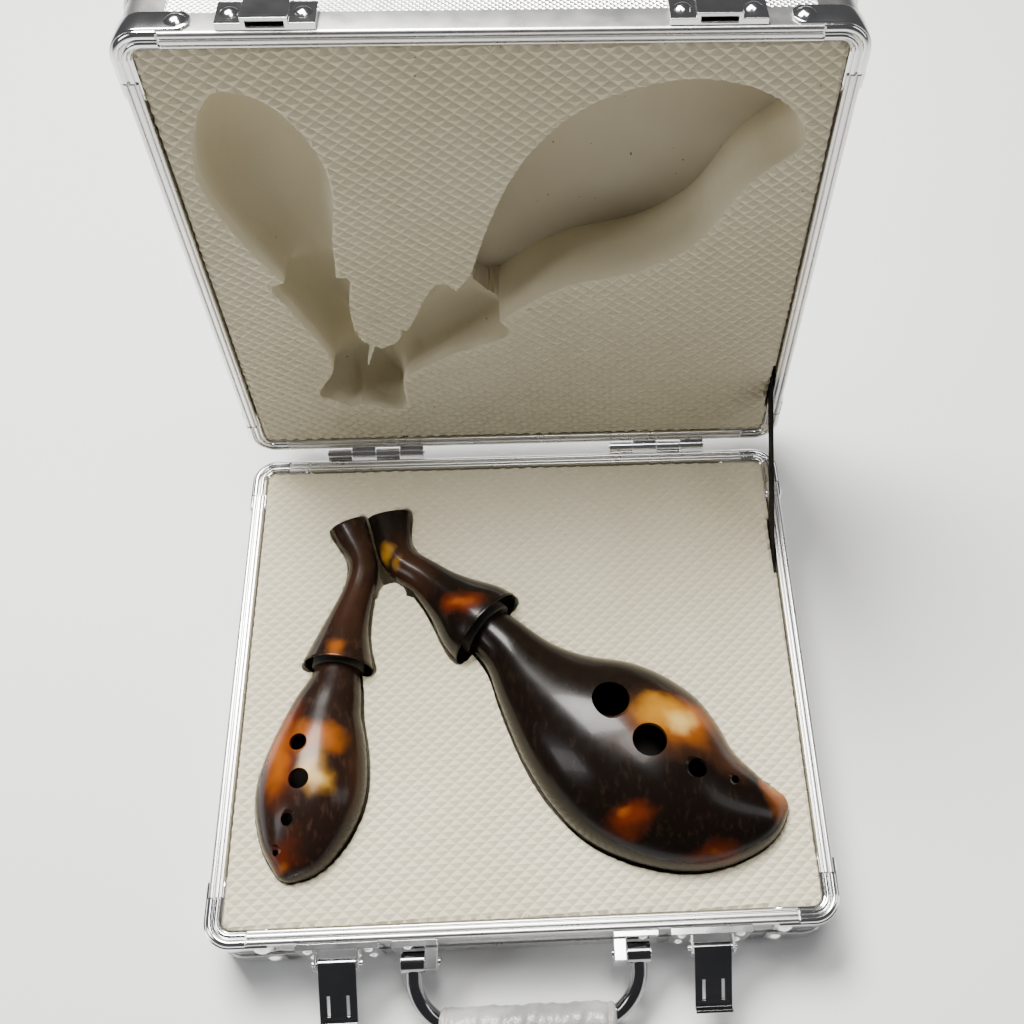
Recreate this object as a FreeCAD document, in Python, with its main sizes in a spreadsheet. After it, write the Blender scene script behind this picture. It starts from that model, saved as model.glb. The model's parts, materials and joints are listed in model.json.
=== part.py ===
"""A pair of horn vessel flutes in a foam-lined aluminium carrying case, lid open.

Frame: origin at the centre of the base's underside, X to the right, Y towards the
hinges, Z up. Millimetres. Lid pieces are drawn closed and then turned about the hinge.
"""
import FreeCAD
import Part
import Sketcher
import math
import os
from FreeCAD import Placement, Rotation, Vector

DRIVING = {
    "case_width": 262, "case_depth": 230, "base_height": 38, "lid_height": 42,
    "corner_radius": 11, "panel": 4, "skin": 1, "rim_width": 6, "rim_web": 1.5,
    "rim_outer_drop": 12, "rim_inner_drop": 8, "half_gap": 0.2,
    "seam_front": 17, "seam_side": 19, "guard_leg": 28, "cap_height": 14,
    "edge_flange": 12, "groove": 0.8, "groove_outer": 2, "groove_inner": 4.4,
    "foam_inset": 7.3, "foam_radius": 4, "foam_below_rim": 0.4, "liner": 1, "pocket_gap": 1,
    "hinge_offset": 3.3, "hinge_outer": 2.5, "hinge_pin": 1, "hinge_length": 48,
    "hinge_centre": 71, "hinge_leaf": 1, "leaf_height": 13, "lid_angle": 95.7,
    "latch_centre": 77, "plate_width": 34, "plate_height": 27, "plate_depth": 2.6,
    "pin_out": 7.3, "latch_pin_height": 32, "ear_gap": 16.2, "ear": 1,
    "ear_reach": 7.6, "ear_height": 8, "lever_slot": 1.2, "lever_slot_length": 9,
    "lever_width": 15.4, "lever_length": 26, "lever": 1.2, "lever_roll": 2.1,
    "lever_turn": 125, "latch_pin": 1, "lever_lip": 3,
    "keeper_wing": 13, "bridge_width": 16, "bridge_out": 4.6, "bridge_height": 16.7,
    "handle_centre": 46.75, "bracket_width": 19, "bracket_height": 24, "bracket_ear": 5.4,
    "bracket_ear_height": 18, "bail_bend": 22,
    "ear_out": 11.5, "handle_pivot_height": 26, "handle_reach": 30, "grip_radius": 9,
    "grip_length": 74, "bail_radius": 3.5, "hub_radius": 4.2, "hub_length": 9.5,
    "handle_droop": 34.06, "handle_pin": 1.7,
    "rivet_radius": 3.8, "rivet_dome": 1.6, "small_rivet": 2.2,
    "strap_width": 10, "strap": 1, "strap_inset": 6.6, "strap_base": 63, "strap_lid": 45,
    "strap_depth": 5, "horn_wall": 3,
}

doc = FreeCAD.newDocument("HornFluteCase")
dim = doc.addObject("Spreadsheet::Sheet", "dim")
for row, (alias, value) in enumerate(DRIVING.items(), 1):
    dim.set(f"A{row}", alias)
    dim.set(f"B{row}", str(value))
    dim.setAlias(f"B{row}", alias)
doc.recompute()

X_AXIS, Y_AXIS, Z_AXIS = Vector(1, 0, 0), Vector(0, 1, 0), Vector(0, 0, 1)
HALF_WIDTH = dim.case_width / 2
HALF_DEPTH = dim.case_depth / 2
PARTING = dim.base_height
CLOSED_HEIGHT = dim.base_height + dim.lid_height

subparts = []


def turned(point, axis, degrees):
    """The placement that turns things about an axis through a point."""
    return Placement(Vector(0, 0, 0), Rotation(axis, degrees), point)


HINGE = Vector(0, HALF_DEPTH + dim.hinge_offset, PARTING)
LID_OPEN = turned(HINGE, X_AXIS, -dim.lid_angle)
LID_OVER = Placement(Vector(0, 0, CLOSED_HEIGHT), Rotation(X_AXIS, 180))
LID = LID_OPEN * LID_OVER
BASE = Placement()


# ---------------------------------------------------------------- document helpers
def keep(item, label, place=BASE):
    """Name a finished sub-part and put it where it belongs."""
    if any("Placement" in path for path, _ in item.ExpressionEngine):
        whole = doc.addObject("Part::Compound", item.Name + "_placed")
        whole.Links = [item]
        item = whole
    item.Label = label
    item.Placement = place * item.Placement
    subparts.append(item)
    return item


def bind(item, **expressions):
    """Bind properties of an object to expressions of the sheet."""
    for name, expression in expressions.items():
        item.setExpression(name, expression)
    return item


def box(name, sizes, corner):
    """A block whose sizes and low corner are expressions of the sheet."""
    item = doc.addObject("Part::Box", name)
    bind(item, Length=sizes[0], Width=sizes[1], Height=sizes[2])
    for axis, expression in zip("xyz", corner):
        item.setExpression(f".Placement.Base.{axis}", expression)
    return item


def rod(name, radius, length, start, axis):
    """A cylinder from a start point along an axis; radius and length are expressions."""
    item = bind(doc.addObject("Part::Cylinder", name), Radius=radius, Height=length)
    item.Placement = Placement(start, Rotation(Z_AXIS, axis))
    return item


def cut(name, base, tool):
    item = doc.addObject("Part::Cut", name)
    item.Base, item.Tool = base, tool
    return item


def fuse(name, pieces):
    item = doc.addObject("Part::MultiFuse", name)
    item.Shapes = pieces
    return item


def feature(name, shape):
    """An object holding a shape made with Part's own functions."""
    item = doc.addObject("Part::Feature", name)
    item.Shape = shape
    return item


def group(name, solids):
    """Separate solids that share one sub-part, such as a set of rivets."""
    return feature(name, Part.makeCompound(solids))


# ---------------------------------------------------------------- rounded frames
def rounded_block(inset, z_low, z_high, radius=None):
    """A block over the case's plan, inset from its outer face, with round corners."""
    wide, deep = 2 * (HALF_WIDTH - inset), 2 * (HALF_DEPTH - inset)
    block = Part.makeBox(wide, deep, z_high - z_low, Vector(-wide / 2, -deep / 2, z_low))
    radius = dim.corner_radius - inset if radius is None else radius
    if radius <= 0:
        return block
    upright = [e for e in block.Edges if abs(e.tangentAt(e.FirstParameter).z) > 0.9]
    return block.makeFillet(radius, upright)


def frame_ring(outer, inner, z_low, z_high):
    """A frame between two insets from the case's outer face, its corners concentric."""
    return rounded_block(outer, z_low, z_high).cut(rounded_block(inner, z_low - 1, z_high + 1))


def corner_zones(reach_x, reach_y, z_low, z_high):
    """Four blocks that reach in from the outer corners; they overhang the faces."""
    over = 5
    zones = []
    for side in (-1, 1):
        for end in (-1, 1):
            low = Vector(min(side * (HALF_WIDTH - reach_x), side * (HALF_WIDTH + over)),
                         min(end * (HALF_DEPTH - reach_y), end * (HALF_DEPTH + over)), z_low)
            zones.append(Part.makeBox(reach_x + over, reach_y + over, z_high - z_low, low))
    return zones


def side_zones(stop, z_low, z_high):
    """Four blocks over the straight sides between the corners."""
    reach = dim.edge_flange + 10
    long_x, long_y = 2 * (HALF_WIDTH - stop), 2 * (HALF_DEPTH - stop)
    tall = z_high - z_low
    return [
        Part.makeBox(long_x, reach, tall, Vector(-long_x / 2, -HALF_DEPTH - 5, z_low)),
        Part.makeBox(long_x, reach, tall, Vector(-long_x / 2, HALF_DEPTH + 5 - reach, z_low)),
        Part.makeBox(reach, long_y, tall, Vector(-HALF_WIDTH - 5, -long_y / 2, z_low)),
        Part.makeBox(reach, long_y, tall, Vector(HALF_WIDTH + 5 - reach, -long_y / 2, z_low)),
    ]


def dome(point, axis, radius, rise):
    """A domed rivet head standing on a face, its axis pointing out of the face."""
    ball = (radius ** 2 + rise ** 2) / (2 * rise)
    sphere = Part.makeSphere(ball, Vector(0, 0, rise - ball))
    head = sphere.common(Part.makeBox(4 * radius, 4 * radius, rise + 1,
                                      Vector(-2 * radius, -2 * radius, 0)))
    head.Placement = Placement(point, Rotation(Z_AXIS, axis))
    return head


# ---------------------------------------------------------------- the two half shells
def floor_panel(label, place):
    """A panel whose face is flush with the edge extrusions that clamp its border."""
    body = doc.addObject("PartDesign::Body", label + "_body")
    plane = next(f for f in body.Origin.OriginFeatures if f.Role == "XY_Plane")
    layers = (("inside", "dim.skin + dim.panel", "dim.skin", "dim.panel - dim.skin"),
              ("face", "dim.edge_flange", "0", "dim.skin"))
    for name, inset, offset, thickness in layers:
        sketch = body.newObject("Sketcher::SketchObject", f"{label}_{name}_outline")
        sketch.AttachmentSupport, sketch.MapMode = (plane, ""), "FlatFace"
        sketch.setExpression(".AttachmentOffset.Base.z", offset)
        rectangle(sketch, f"dim.case_width - 2 * ({inset})", f"dim.case_depth - 2 * ({inset})")
        pad = bind(body.newObject("PartDesign::Pad", f"{label}_{name}"), Length=thickness)
        pad.Profile = sketch
        doc.recompute()
    upright = [f"Edge{i}" for i, e in enumerate(pad.Shape.Edges, 1)
               if abs(e.tangentAt(e.FirstParameter).z) > 0.9 and e.BoundBox.ZMin > dim.skin / 2]
    corners = body.newObject("PartDesign::Fillet", f"{label}_corners")
    corners.Base = (pad, upright)
    bind(corners, Radius="dim.corner_radius - dim.skin - dim.panel")
    return keep(body, label, place)


def rectangle(sketch, width, depth):
    """A centred rectangle whose two sizes are expressions of the sheet."""
    half_x, half_y = 50, 40
    spots = [Vector(-half_x, -half_y), Vector(half_x, -half_y),
             Vector(half_x, half_y), Vector(-half_x, half_y)]
    for start, end in zip(spots, spots[1:] + spots[:1]):
        sketch.addGeometry(Part.LineSegment(start, end), False)
    for line in range(4):
        sketch.addConstraint(Sketcher.Constraint("Coincident", line, 2, (line + 1) % 4, 1))
        sketch.addConstraint(Sketcher.Constraint(("Horizontal", "Vertical")[line % 2], line))
    sketch.addConstraint(Sketcher.Constraint("Symmetric", 0, 1, 2, 1, -1, 1))
    for line, kind, value in ((0, "DistanceX", width), (1, "DistanceY", depth)):
        index = sketch.addConstraint(Sketcher.Constraint(kind, line, 1, line, 2, 80))
        sketch.setExpression(f"Constraints[{index}]", value)


def wall_panels(half, tall, place, sides):
    """Four wall panels standing in the slots of the rim and the corner posts."""
    height = f"{tall} - dim.half_gap - dim.rim_web - dim.skin"
    run = "dim.corner_radius"
    for name, sign in sides:
        low = "dim.skin" if sign > 0 else "-(dim.skin + dim.panel)"
        edge = "-dim.case_depth / 2" if sign > 0 else "dim.case_depth / 2"
        wall = box(f"{half}_{name}", (f"dim.case_width - 2 * {run}", "dim.panel", height),
                   (f"-dim.case_width / 2 + {run}", f"{edge} + {low}", "dim.skin"))
        keep(wall, f"{half}_{name}_wall", place)
    for name, edge, low in (("left", "-dim.case_width / 2", "dim.skin"),
                            ("right", "dim.case_width / 2", "-(dim.skin + dim.panel)")):
        wall = box(f"{half}_{name}", ("dim.panel", f"dim.case_depth - 2 * {run}", height),
                   (f"{edge} + {low}", f"-dim.case_depth / 2 + {run}", "dim.skin"))
        keep(wall, f"{half}_{name}_wall", place)


def rail(name, length):
    """One grooved rim extrusion, drawn along X under its top face at the origin."""
    blank = box(name + "_blank", (length, "dim.rim_width", "dim.rim_outer_drop"),
                (f"-({length}) / 2", "0", "-dim.rim_outer_drop"))
    tools = [
        box(name + "_slot", (length, "dim.panel", "dim.rim_outer_drop"),
            (f"-({length}) / 2", "dim.skin", "-dim.rim_outer_drop - dim.rim_web")),
        box(name + "_short", (length, "dim.skin + 1", "dim.rim_outer_drop"),
            (f"-({length}) / 2", "dim.rim_width - dim.skin - 0.5",
             "-dim.rim_outer_drop - dim.rim_inner_drop")),
    ]
    for groove in ("outer", "inner"):
        tools.append(box(f"{name}_groove_{groove}", (length, "dim.groove", "dim.groove"),
                         (f"-({length}) / 2", f"dim.groove_{groove} - dim.groove / 2",
                          "-dim.groove")))
    return cut(name, blank, fuse(name + "_tools", tools))


def rim_rails(half, tall, place, sides):
    """Four rim extrusions, each turned so that its outer face looks outwards."""
    top = tall - dim.half_gap
    for name, sign in sides:
        item = rail(f"{half}_{name}_rail", "dim.case_width - 2 * dim.seam_front")
        item.Placement = Placement(Vector(0, -sign * HALF_DEPTH, top),
                                   Rotation(Z_AXIS, 0 if sign > 0 else 180))
        keep(item, f"{half}_rail_{name}", place)
    for name, side, turn in (("left", -1, -90), ("right", 1, 90)):
        item = rail(f"{half}_{name}_rail", "dim.case_depth - 2 * dim.seam_side")
        item.Placement = Placement(Vector(side * HALF_WIDTH, 0, top), Rotation(Z_AXIS, turn))
        keep(item, f"{half}_rail_{name}", place)


def rim_corners(half, tall, place):
    """Chrome corner pieces: the rim's rounded channel with an outer and an inner guard."""
    top = tall - dim.half_gap
    low = top - dim.rim_outer_drop
    channel = frame_ring(0, dim.rim_width, low, top)
    channel = channel.cut(frame_ring(dim.skin, dim.skin + dim.panel, low - 1, top - dim.rim_web))
    channel = channel.cut(frame_ring(dim.rim_width - dim.skin, dim.rim_width + 1,
                                     low - 1, top - dim.rim_inner_drop))
    for inset in (dim.groove_outer, dim.groove_inner):
        channel = channel.cut(frame_ring(inset - dim.groove / 2, inset + dim.groove / 2,
                                         top - dim.groove, top + 1))
    outer = frame_ring(-dim.skin, 0, low + 0.2, top - 1.2)
    inner = frame_ring(dim.rim_width, dim.rim_width + 0.6, top - dim.rim_inner_drop, top - 1)
    short = corner_zones(dim.seam_front, dim.seam_side, 0, tall)
    long = corner_zones(dim.guard_leg, dim.guard_leg, 0, tall)
    solids = [channel.common(near).fuse([outer.common(far), inner.common(far)])
              for near, far in zip(short, long)]
    keep(group(f"{half}_corner_set", [s.Solids[0] for s in solids]), f"{half}_rim_corners", place)


def corner_posts(half, tall, place):
    """Rounded upright posts that hold the ends of the wall panels."""
    skirt = tall - dim.half_gap - dim.rim_outer_drop
    core = frame_ring(dim.skin, dim.skin + dim.panel, dim.skin,
                      tall - dim.half_gap - dim.rim_web)
    cover = frame_ring(0, dim.skin, dim.skin, skirt)
    cores = corner_zones(dim.corner_radius, dim.corner_radius, 0, tall)
    covers = corner_zones(dim.corner_radius, dim.corner_radius, dim.skin, tall)
    flaps = corner_zones(dim.corner_radius + 7, dim.corner_radius + 7, dim.edge_flange, tall)
    solids = [core.common(a).fuse([cover.common(b), cover.common(c)])
              for a, b, c in zip(cores, covers, flaps)]
    keep(group(f"{half}_post_set", [s.Solids[0] for s in solids]), f"{half}_corner_posts", place)


def edge_extrusions(half, place):
    """Angle extrusions that join the walls to the floor or top panel."""
    angle = frame_ring(0, dim.skin, 0, dim.edge_flange)
    angle = angle.fuse(frame_ring(0, dim.edge_flange, 0, dim.skin))
    solids = [angle.common(zone).Solids[0]
              for zone in side_zones(dim.corner_radius, -1, dim.edge_flange + 1)]
    keep(group(f"{half}_edge_set", solids), f"{half}_edge_extrusions", place)


def corner_caps(half, place):
    """Chrome caps over the outer corners, each with a leg along both walls."""
    shell = frame_ring(-dim.skin, 0, 0, dim.cap_height)
    plate = rounded_block(0, 0, dim.skin)
    legs = corner_zones(dim.guard_leg, dim.guard_leg, -1, dim.cap_height)
    feet = corner_zones(dim.corner_radius, dim.corner_radius, -1, dim.cap_height)
    solids = [shell.common(leg).fuse(plate.common(foot)).Solids[0]
              for leg, foot in zip(legs, feet)]
    keep(group(f"{half}_cap_set", solids), f"{half}_corner_caps", place)


def corner_rivets(tall):
    """Two rivets on every rim corner and on every outer corner cap of a half shell."""
    back = dim.guard_leg - dim.rivet_radius - 1
    heads = []
    for height in (tall - dim.half_gap - 0.5 - dim.rim_outer_drop / 2, dim.cap_height / 2):
        for side in (-1, 1):
            for end in (-1, 1):
                front = Vector(side * (HALF_WIDTH - back), end * (HALF_DEPTH + dim.skin), height)
                flank = Vector(side * (HALF_WIDTH + dim.skin), end * (HALF_DEPTH - back), height)
                heads.append(dome(front, Y_AXIS * end, dim.rivet_radius, dim.rivet_dome))
                heads.append(dome(flank, X_AXIS * side, dim.rivet_radius, dim.rivet_dome))
    return heads


# ---------------------------------------------------------------- the flutes' shapes
# Stations along each piece: x, y, half width across, half height (all mm, in plan about
# the parting plane), from the bit to the skirt of a mouthpiece and neck to tip of a body.
BIG_BODY = [(-21, 26, 11.2, 11.2), (-15.5, 20, 11.6, 11.6), (-11, 15.5, 12.4, 12.2),
            (-4.5, 8.5, 13.8, 13.2), (3.5, -2, 18.2, 16), (11.5, -11.5, 23.6, 19.2),
            (20, -20, 29.7, 22.5), (30, -28.5, 35.5, 25.3), (42, -38.5, 39.2, 27.3),
            (54, -49, 39.6, 27.6), (67, -58.5, 35.7, 25.6), (81.5, -65.5, 29, 21.2),
            (95.5, -68, 20.6, 15.6), (106.5, -67.3, 12.3, 9.5), (113, -65.5, 4.5, 3.5)]
BIG_MOUTH = [(-63.4, 82.4, 10.3, 4.4), (-61.6, 71.7, 8.9, 5.2), (-59.3, 61.6, 8.4, 6.4),
             (-54.5, 54.5, 8.5, 7.6), (-47.2, 49, 8.9, 8.6), (-38.3, 41.2, 10.8, 10.8),
             (-29.3, 32.8, 15, 14.6), (-21.5, 25.5, 19.2, 18.6), (-15.5, 20, 20.6, 20)]
BIG_HOLES = [(39, -24, 8.15), (54.5, -43.5, 7.25), (74, -55.5, 4), (90.5, -59, 1.6)]
SMALL_BODY = [(-82.7, 13, 9.5, 9.5), (-83.2, 3.2, 9.8, 9.8), (-83.8, -2.5, 11.2, 10.8),
              (-85, -9.5, 13.4, 12.4), (-87, -18, 16, 14), (-88.5, -29, 19.5, 16.2),
              (-89.8, -41, 22.3, 18), (-91.4, -54, 23.5, 18.8), (-93.2, -66, 21.3, 17.4),
              (-95.5, -76.6, 16.8, 14), (-98, -84.5, 10.8, 9.2), (-99.8, -89, 4.5, 4)]
SMALL_MOUTH = [(-83, 78.2, 8.8, 4.2), (-79.2, 69, 7.9, 4.8), (-75.9, 61, 6.8, 5.6),
               (-74.2, 52, 7, 6.6), (-75.7, 42, 7.3, 7.2), (-78, 33, 8.4, 8.4),
               (-80.6, 22.2, 10.6, 10.6), (-82.3, 11.4, 13.7, 13.7), (-83.2, 3.2, 16.2, 16.2)]
SMALL_HOLES = [(-95.5, -35.5, 3.65), (-93.5, -52, 4.25), (-97.5, -68.5, 2.5),
               (-102.5, -80.5, 1.25)]


def headings(stations):
    """The unit direction of travel at each station, from its neighbours."""
    points = [Vector(x, y, 0) for x, y, _, _ in stations]
    ahead = points[1:] + points[-1:]
    behind = points[:1] + points[:-1]
    return [(a - b).normalize() for a, b in zip(ahead, behind)]


def loft(name, stations):
    """A solid through upright ellipses set across a plan curve at the parting plane."""
    sections = []
    for index, ((x, y, across, tall), heading) in enumerate(zip(stations, headings(stations))):
        side = Vector(-heading.y, heading.x, 0)
        ellipse = doc.addObject("Part::Ellipse", f"{name}_section_{index}")
        ellipse.MajorRadius, ellipse.MinorRadius = across, min(tall, across)
        ellipse.Placement = Placement(Vector(x, y, PARTING),
                                      Rotation(side, Z_AXIS, side.cross(Z_AXIS), "XYZ"))
        sections.append(ellipse)
    item = doc.addObject("Part::Loft", name)
    item.Sections, item.Solid = sections, True
    return item


def inner_stations(stations, wall):
    """Stations of a body's hollow: one wall smaller all round, open at the neck."""
    (x0, y0, across, tall), heading = stations[0], headings(stations)[0]
    mouth = (x0 - 2 * heading.x, y0 - 2 * heading.y, across - wall, tall - wall)
    inside = [(x, y, a - wall, t - wall) for x, y, a, t in stations if t > 2.5 * wall]
    return [mouth] + inside


def airway_stations(stations):
    """A narrow airway through a mouthpiece, a flat slit at the bit and round behind it."""
    first, last = headings(stations)[0], headings(stations)[-1]
    slit, bore = (3.4, 1.2), (2.6, 2.6)
    ends = [(stations[0][0] - 3 * first.x, stations[0][1] - 3 * first.y, *slit)]
    ends += [(x, y, *bore) for x, y, _, _ in stations[2:-1]]
    return ends + [(stations[-1][0] + last.x, stations[-1][1] + last.y, *bore)]


def finger_hole(name, x, y, radius):
    """An upright drill through the top wall of a body only."""
    item = doc.addObject("Part::Cylinder", name)
    item.Radius, item.Height = radius, dim.base_height
    item.Placement = Placement(Vector(x, y, PARTING + 1), Rotation())
    return item


def flute(name, body_stations, mouth_stations, holes, ring_radius):
    """A hollow body, its mouthpiece pressed over the neck and the ring between them."""
    outer = loft(f"{name}_outer", body_stations)
    hollow = loft(f"{name}_hollow", inner_stations(body_stations, dim.horn_wall))
    drills = [finger_hole(f"{name}_hole_{i}", *hole) for i, hole in enumerate(holes)]
    keep(cut(f"{name}_shell", outer, fuse(f"{name}_tools", [hollow] + drills)),
         f"{name}_flute_body")

    heading = headings(mouth_stations)[-1]
    end = Vector(mouth_stations[-1][0], mouth_stations[-1][1], PARTING)
    ring = rod(f"{name}_ring_blank", "4", "4", end - heading * 3, heading)
    ring.setExpression("Radius", str(ring_radius))
    neck = loft(f"{name}_neck", body_stations)
    airway = loft(f"{name}_airway", airway_stations(mouth_stations))
    tools = fuse(f"{name}_mouth_tools", [neck, ring, airway])
    keep(cut(f"{name}_mouth", loft(f"{name}_mouth_outer", mouth_stations), tools),
         f"{name}_flute_mouthpiece")
    ring_copy = rod(f"{name}_ring_solid", str(ring_radius), "4", end - heading * 3, heading)
    keep(cut(f"{name}_ring", ring_copy, loft(f"{name}_neck_again", body_stations)),
         f"{name}_flute_ring")


# ---------------------------------------------------------------- foam
def outline_prism(stations, margin, z_low, z_high):
    """An upright pocket that follows a piece's plan outline with a margin round it."""
    left, right = [], []
    for (x, y, across, _), heading in zip(stations, headings(stations)):
        side = Vector(-heading.y, heading.x, 0) * (across + margin)
        left.append(Vector(x, y, z_low) + side)
        right.append(Vector(x, y, z_low) - side)
    first, last = headings(stations)[0], headings(stations)[-1]
    start = Vector(stations[0][0], stations[0][1], z_low) - first * (margin + 1)
    tip = Vector(stations[-1][0], stations[-1][1], z_low) + last * (margin + 1)
    curve = Part.BSplineCurve()
    curve.interpolate(Points=[start] + left + [tip] + right[::-1], PeriodicFlag=True)
    face = Part.Face(Part.Wire(curve.toShape()))
    return face.extrude(Vector(0, 0, z_high - z_low))


def pockets(floors, z_open):
    """The joined pockets of both flutes; floors pairs an outline with its floor's height."""
    shapes = [outline_prism(stations, dim.pocket_gap, min(floor, z_open), max(floor, z_open))
              for stations, floor in floors]
    return shapes[0].fuse(shapes[1:])


def strap_notch(from_hinge, z_low):
    """The cut-out that lets the strap's end lie between the foam and the wall."""
    length, height, depth = dim.strap_width + 20, 14, 4
    return Part.makeBox(depth, length, height,
                        Vector(HALF_WIDTH - dim.foam_inset - 1.2, HINGE.y - from_hinge, z_low))


def half_height(stations):
    return max(tall for _, _, _, tall in stations)


def base_foam():
    top = PARTING - dim.half_gap - dim.foam_below_rim
    under = 0.4
    big = PARTING - half_height(BIG_BODY) - under
    small = PARTING - half_height(SMALL_BODY) - under
    foam = rounded_block(dim.foam_inset, dim.panel, top, dim.foam_radius)
    foam = foam.cut(pockets([(BIG_BODY, big), (BIG_MOUTH, big),
                             (SMALL_BODY, small), (SMALL_MOUTH, small)], top + 1))
    foam = foam.cut(strap_notch(dim.strap_base + 10, top - 13))
    keep(feature("base_foam_block", foam.Solids[0]), "base_foam")


def lid_foam():
    """The larger flute's body recess goes through to the liner; the others have floors."""
    low = PARTING + dim.half_gap + dim.foam_below_rim
    high = CLOSED_HEIGHT - dim.panel - dim.liner
    room = 9
    floor = PARTING + half_height(SMALL_BODY) + room
    foam = rounded_block(dim.foam_inset, low, high, dim.foam_radius)
    foam = foam.cut(pockets([(BIG_BODY[1:], high + 1), (BIG_MOUTH, floor),
                             (SMALL_BODY, floor), (SMALL_MOUTH, floor)], low - 1))
    foam = foam.cut(strap_notch(dim.strap_lid + 12, low - 1))
    keep(feature("lid_foam_block", foam.Solids[0]), "lid_foam", LID_OPEN)
    liner = rounded_block(dim.foam_inset - 1.8, high, high + dim.liner)
    keep(feature("lid_liner_sheet", liner), "lid_liner", LID_OPEN)


# ---------------------------------------------------------------- hinges
def hinge_leaf(name, first, sign):
    """A leaf with its two knuckles; sign is -1 for the base's leaf and 1 for the lid's."""
    knuckle = dim.hinge_length / 4
    gap = 0.15
    start = -dim.hinge_length / 2
    near, far = dim.hinge_outer + 0.6, dim.leaf_height
    plate_low = min(sign * near, sign * far)
    shape = Part.makeBox(dim.hinge_length, dim.hinge_leaf, far - near,
                         Vector(start, -dim.hinge_offset, plate_low))
    arm_low = min(sign * 0.4, sign * (near + 0.5))
    for index in (first, first + 2):
        x_low = start + index * knuckle + gap
        wide = knuckle - 2 * gap
        arm = Part.makeBox(wide, dim.hinge_leaf, near + 0.1,
                           Vector(x_low, -dim.hinge_offset, arm_low))
        curl = Part.makeCylinder(dim.hinge_outer, wide, Vector(x_low, 0, 0), X_AXIS)
        shape = shape.fuse([arm, curl])
    bore = Part.makeCylinder(dim.hinge_pin + 0.05, 2 * dim.hinge_length,
                             Vector(-dim.hinge_length, 0, 0), X_AXIS)
    return feature(name, shape.cut(bore).removeSplitter().Solids[0])


def hinges():
    for side, sign in (("left", -1), ("right", 1)):
        spot = Placement(HINGE + Vector(sign * dim.hinge_centre, 0, 0), Rotation())
        leaf = hinge_leaf(f"{side}_base_leaf", 0, -1)
        leaf.Placement = spot
        keep(leaf, f"hinge_{side}_base_leaf")
        leaf = hinge_leaf(f"{side}_lid_leaf", 1, 1)
        leaf.Placement = spot
        keep(leaf, f"hinge_{side}_lid_leaf", LID_OPEN)
        pin = rod(f"{side}_hinge_pin", "dim.hinge_pin", "dim.hinge_length + 1",
                  HINGE + Vector(sign * dim.hinge_centre - dim.hinge_length / 2 - 0.5, 0, 0),
                  X_AXIS)
        keep(pin, f"hinge_{side}_pin")


# ---------------------------------------------------------------- latches
LATCH_PIN = Vector(0, -HALF_DEPTH - dim.pin_out, dim.latch_pin_height)
FRONT = "-dim.case_depth / 2"


def latch_plate(side, x):
    """A stamped tray on the base's front with two ears that carry the lever's pin."""
    name = f"{side}_latch"
    top = "dim.base_height - 1.5"
    wide = "dim.plate_width"
    tray = box(f"{name}_tray", (wide, "dim.plate_depth", "dim.plate_height"),
               (f"{x} - {wide} / 2", f"{FRONT} - dim.plate_depth", f"{top} - dim.plate_height"))
    hollow = box(f"{name}_hollow", (f"{wide} - 2", "dim.plate_depth - 1", "dim.plate_height - 2"),
                 (f"{x} - {wide} / 2 + 1", f"{FRONT} - dim.plate_depth + 1",
                  f"{top} - dim.plate_height + 1"))
    pieces = [cut(f"{name}_shell", tray, hollow)]
    for hand, low in (("a", "-dim.ear_gap / 2 - dim.ear"), ("b", "dim.ear_gap / 2")):
        pieces.append(box(f"{name}_ear_{hand}", ("dim.ear", "dim.ear_reach", "dim.ear_height"),
                          (f"{x} + {low}", f"{FRONT} - dim.plate_depth - dim.ear_reach + 0.1",
                           "dim.latch_pin_height - dim.ear_height / 2 - 0.5")))
    bore = rod(f"{name}_bore", "dim.latch_pin + 0.05", "30",
               LATCH_PIN + Vector(float(x) - 15, 0, 0), X_AXIS)
    keep(cut(f"{name}_plate", fuse(f"{name}_blank", pieces), bore), f"latch_{side}_plate")


def latch_lever(side, x):
    """The lever, drawn shut: a rolled eye, a slotted plate and a lip that hooks the keeper."""
    name = f"{side}_lever"
    low = f"{x} - dim.lever_width / 2"
    pin_y = f"{FRONT} - dim.pin_out"
    plate_y = f"{pin_y} + dim.lever_roll - dim.lever"
    top = "dim.latch_pin_height + dim.lever_length"
    plate = box(f"{name}_plate", ("dim.lever_width", "dim.lever", "dim.lever_length"),
                (low, plate_y, "dim.latch_pin_height"))
    lip = box(f"{name}_lip", ("dim.lever_width", "dim.lever_lip + dim.lever", "dim.lever"),
              (low, plate_y, f"{top} - dim.lever"))
    eye = rod(f"{name}_eye", "dim.lever_roll", "dim.lever_width",
              LATCH_PIN + Vector(float(x) - dim.lever_width / 2, 0, 0), X_AXIS)
    tools = [rod(f"{name}_bore", "dim.latch_pin + 0.05", "30",
                 LATCH_PIN + Vector(float(x) - 15, 0, 0), X_AXIS)]
    for hand, shift in (("a", "- 4"), ("b", "+ 4")):
        tools.append(box(f"{name}_slot_{hand}", ("dim.lever_slot", "dim.lever + 2",
                                                     "dim.lever_slot_length"),
                         (f"{x} {shift} - dim.lever_slot / 2", f"{plate_y} - 1",
                          f"{top} - dim.lever_slot_length - 4")))
    lever = cut(name, fuse(f"{name}_blank", [plate, lip, eye]), fuse(f"{name}_tools", tools))
    keep(lever, f"latch_{side}_lever", turned(LATCH_PIN, X_AXIS, dim.lever_turn))


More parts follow.
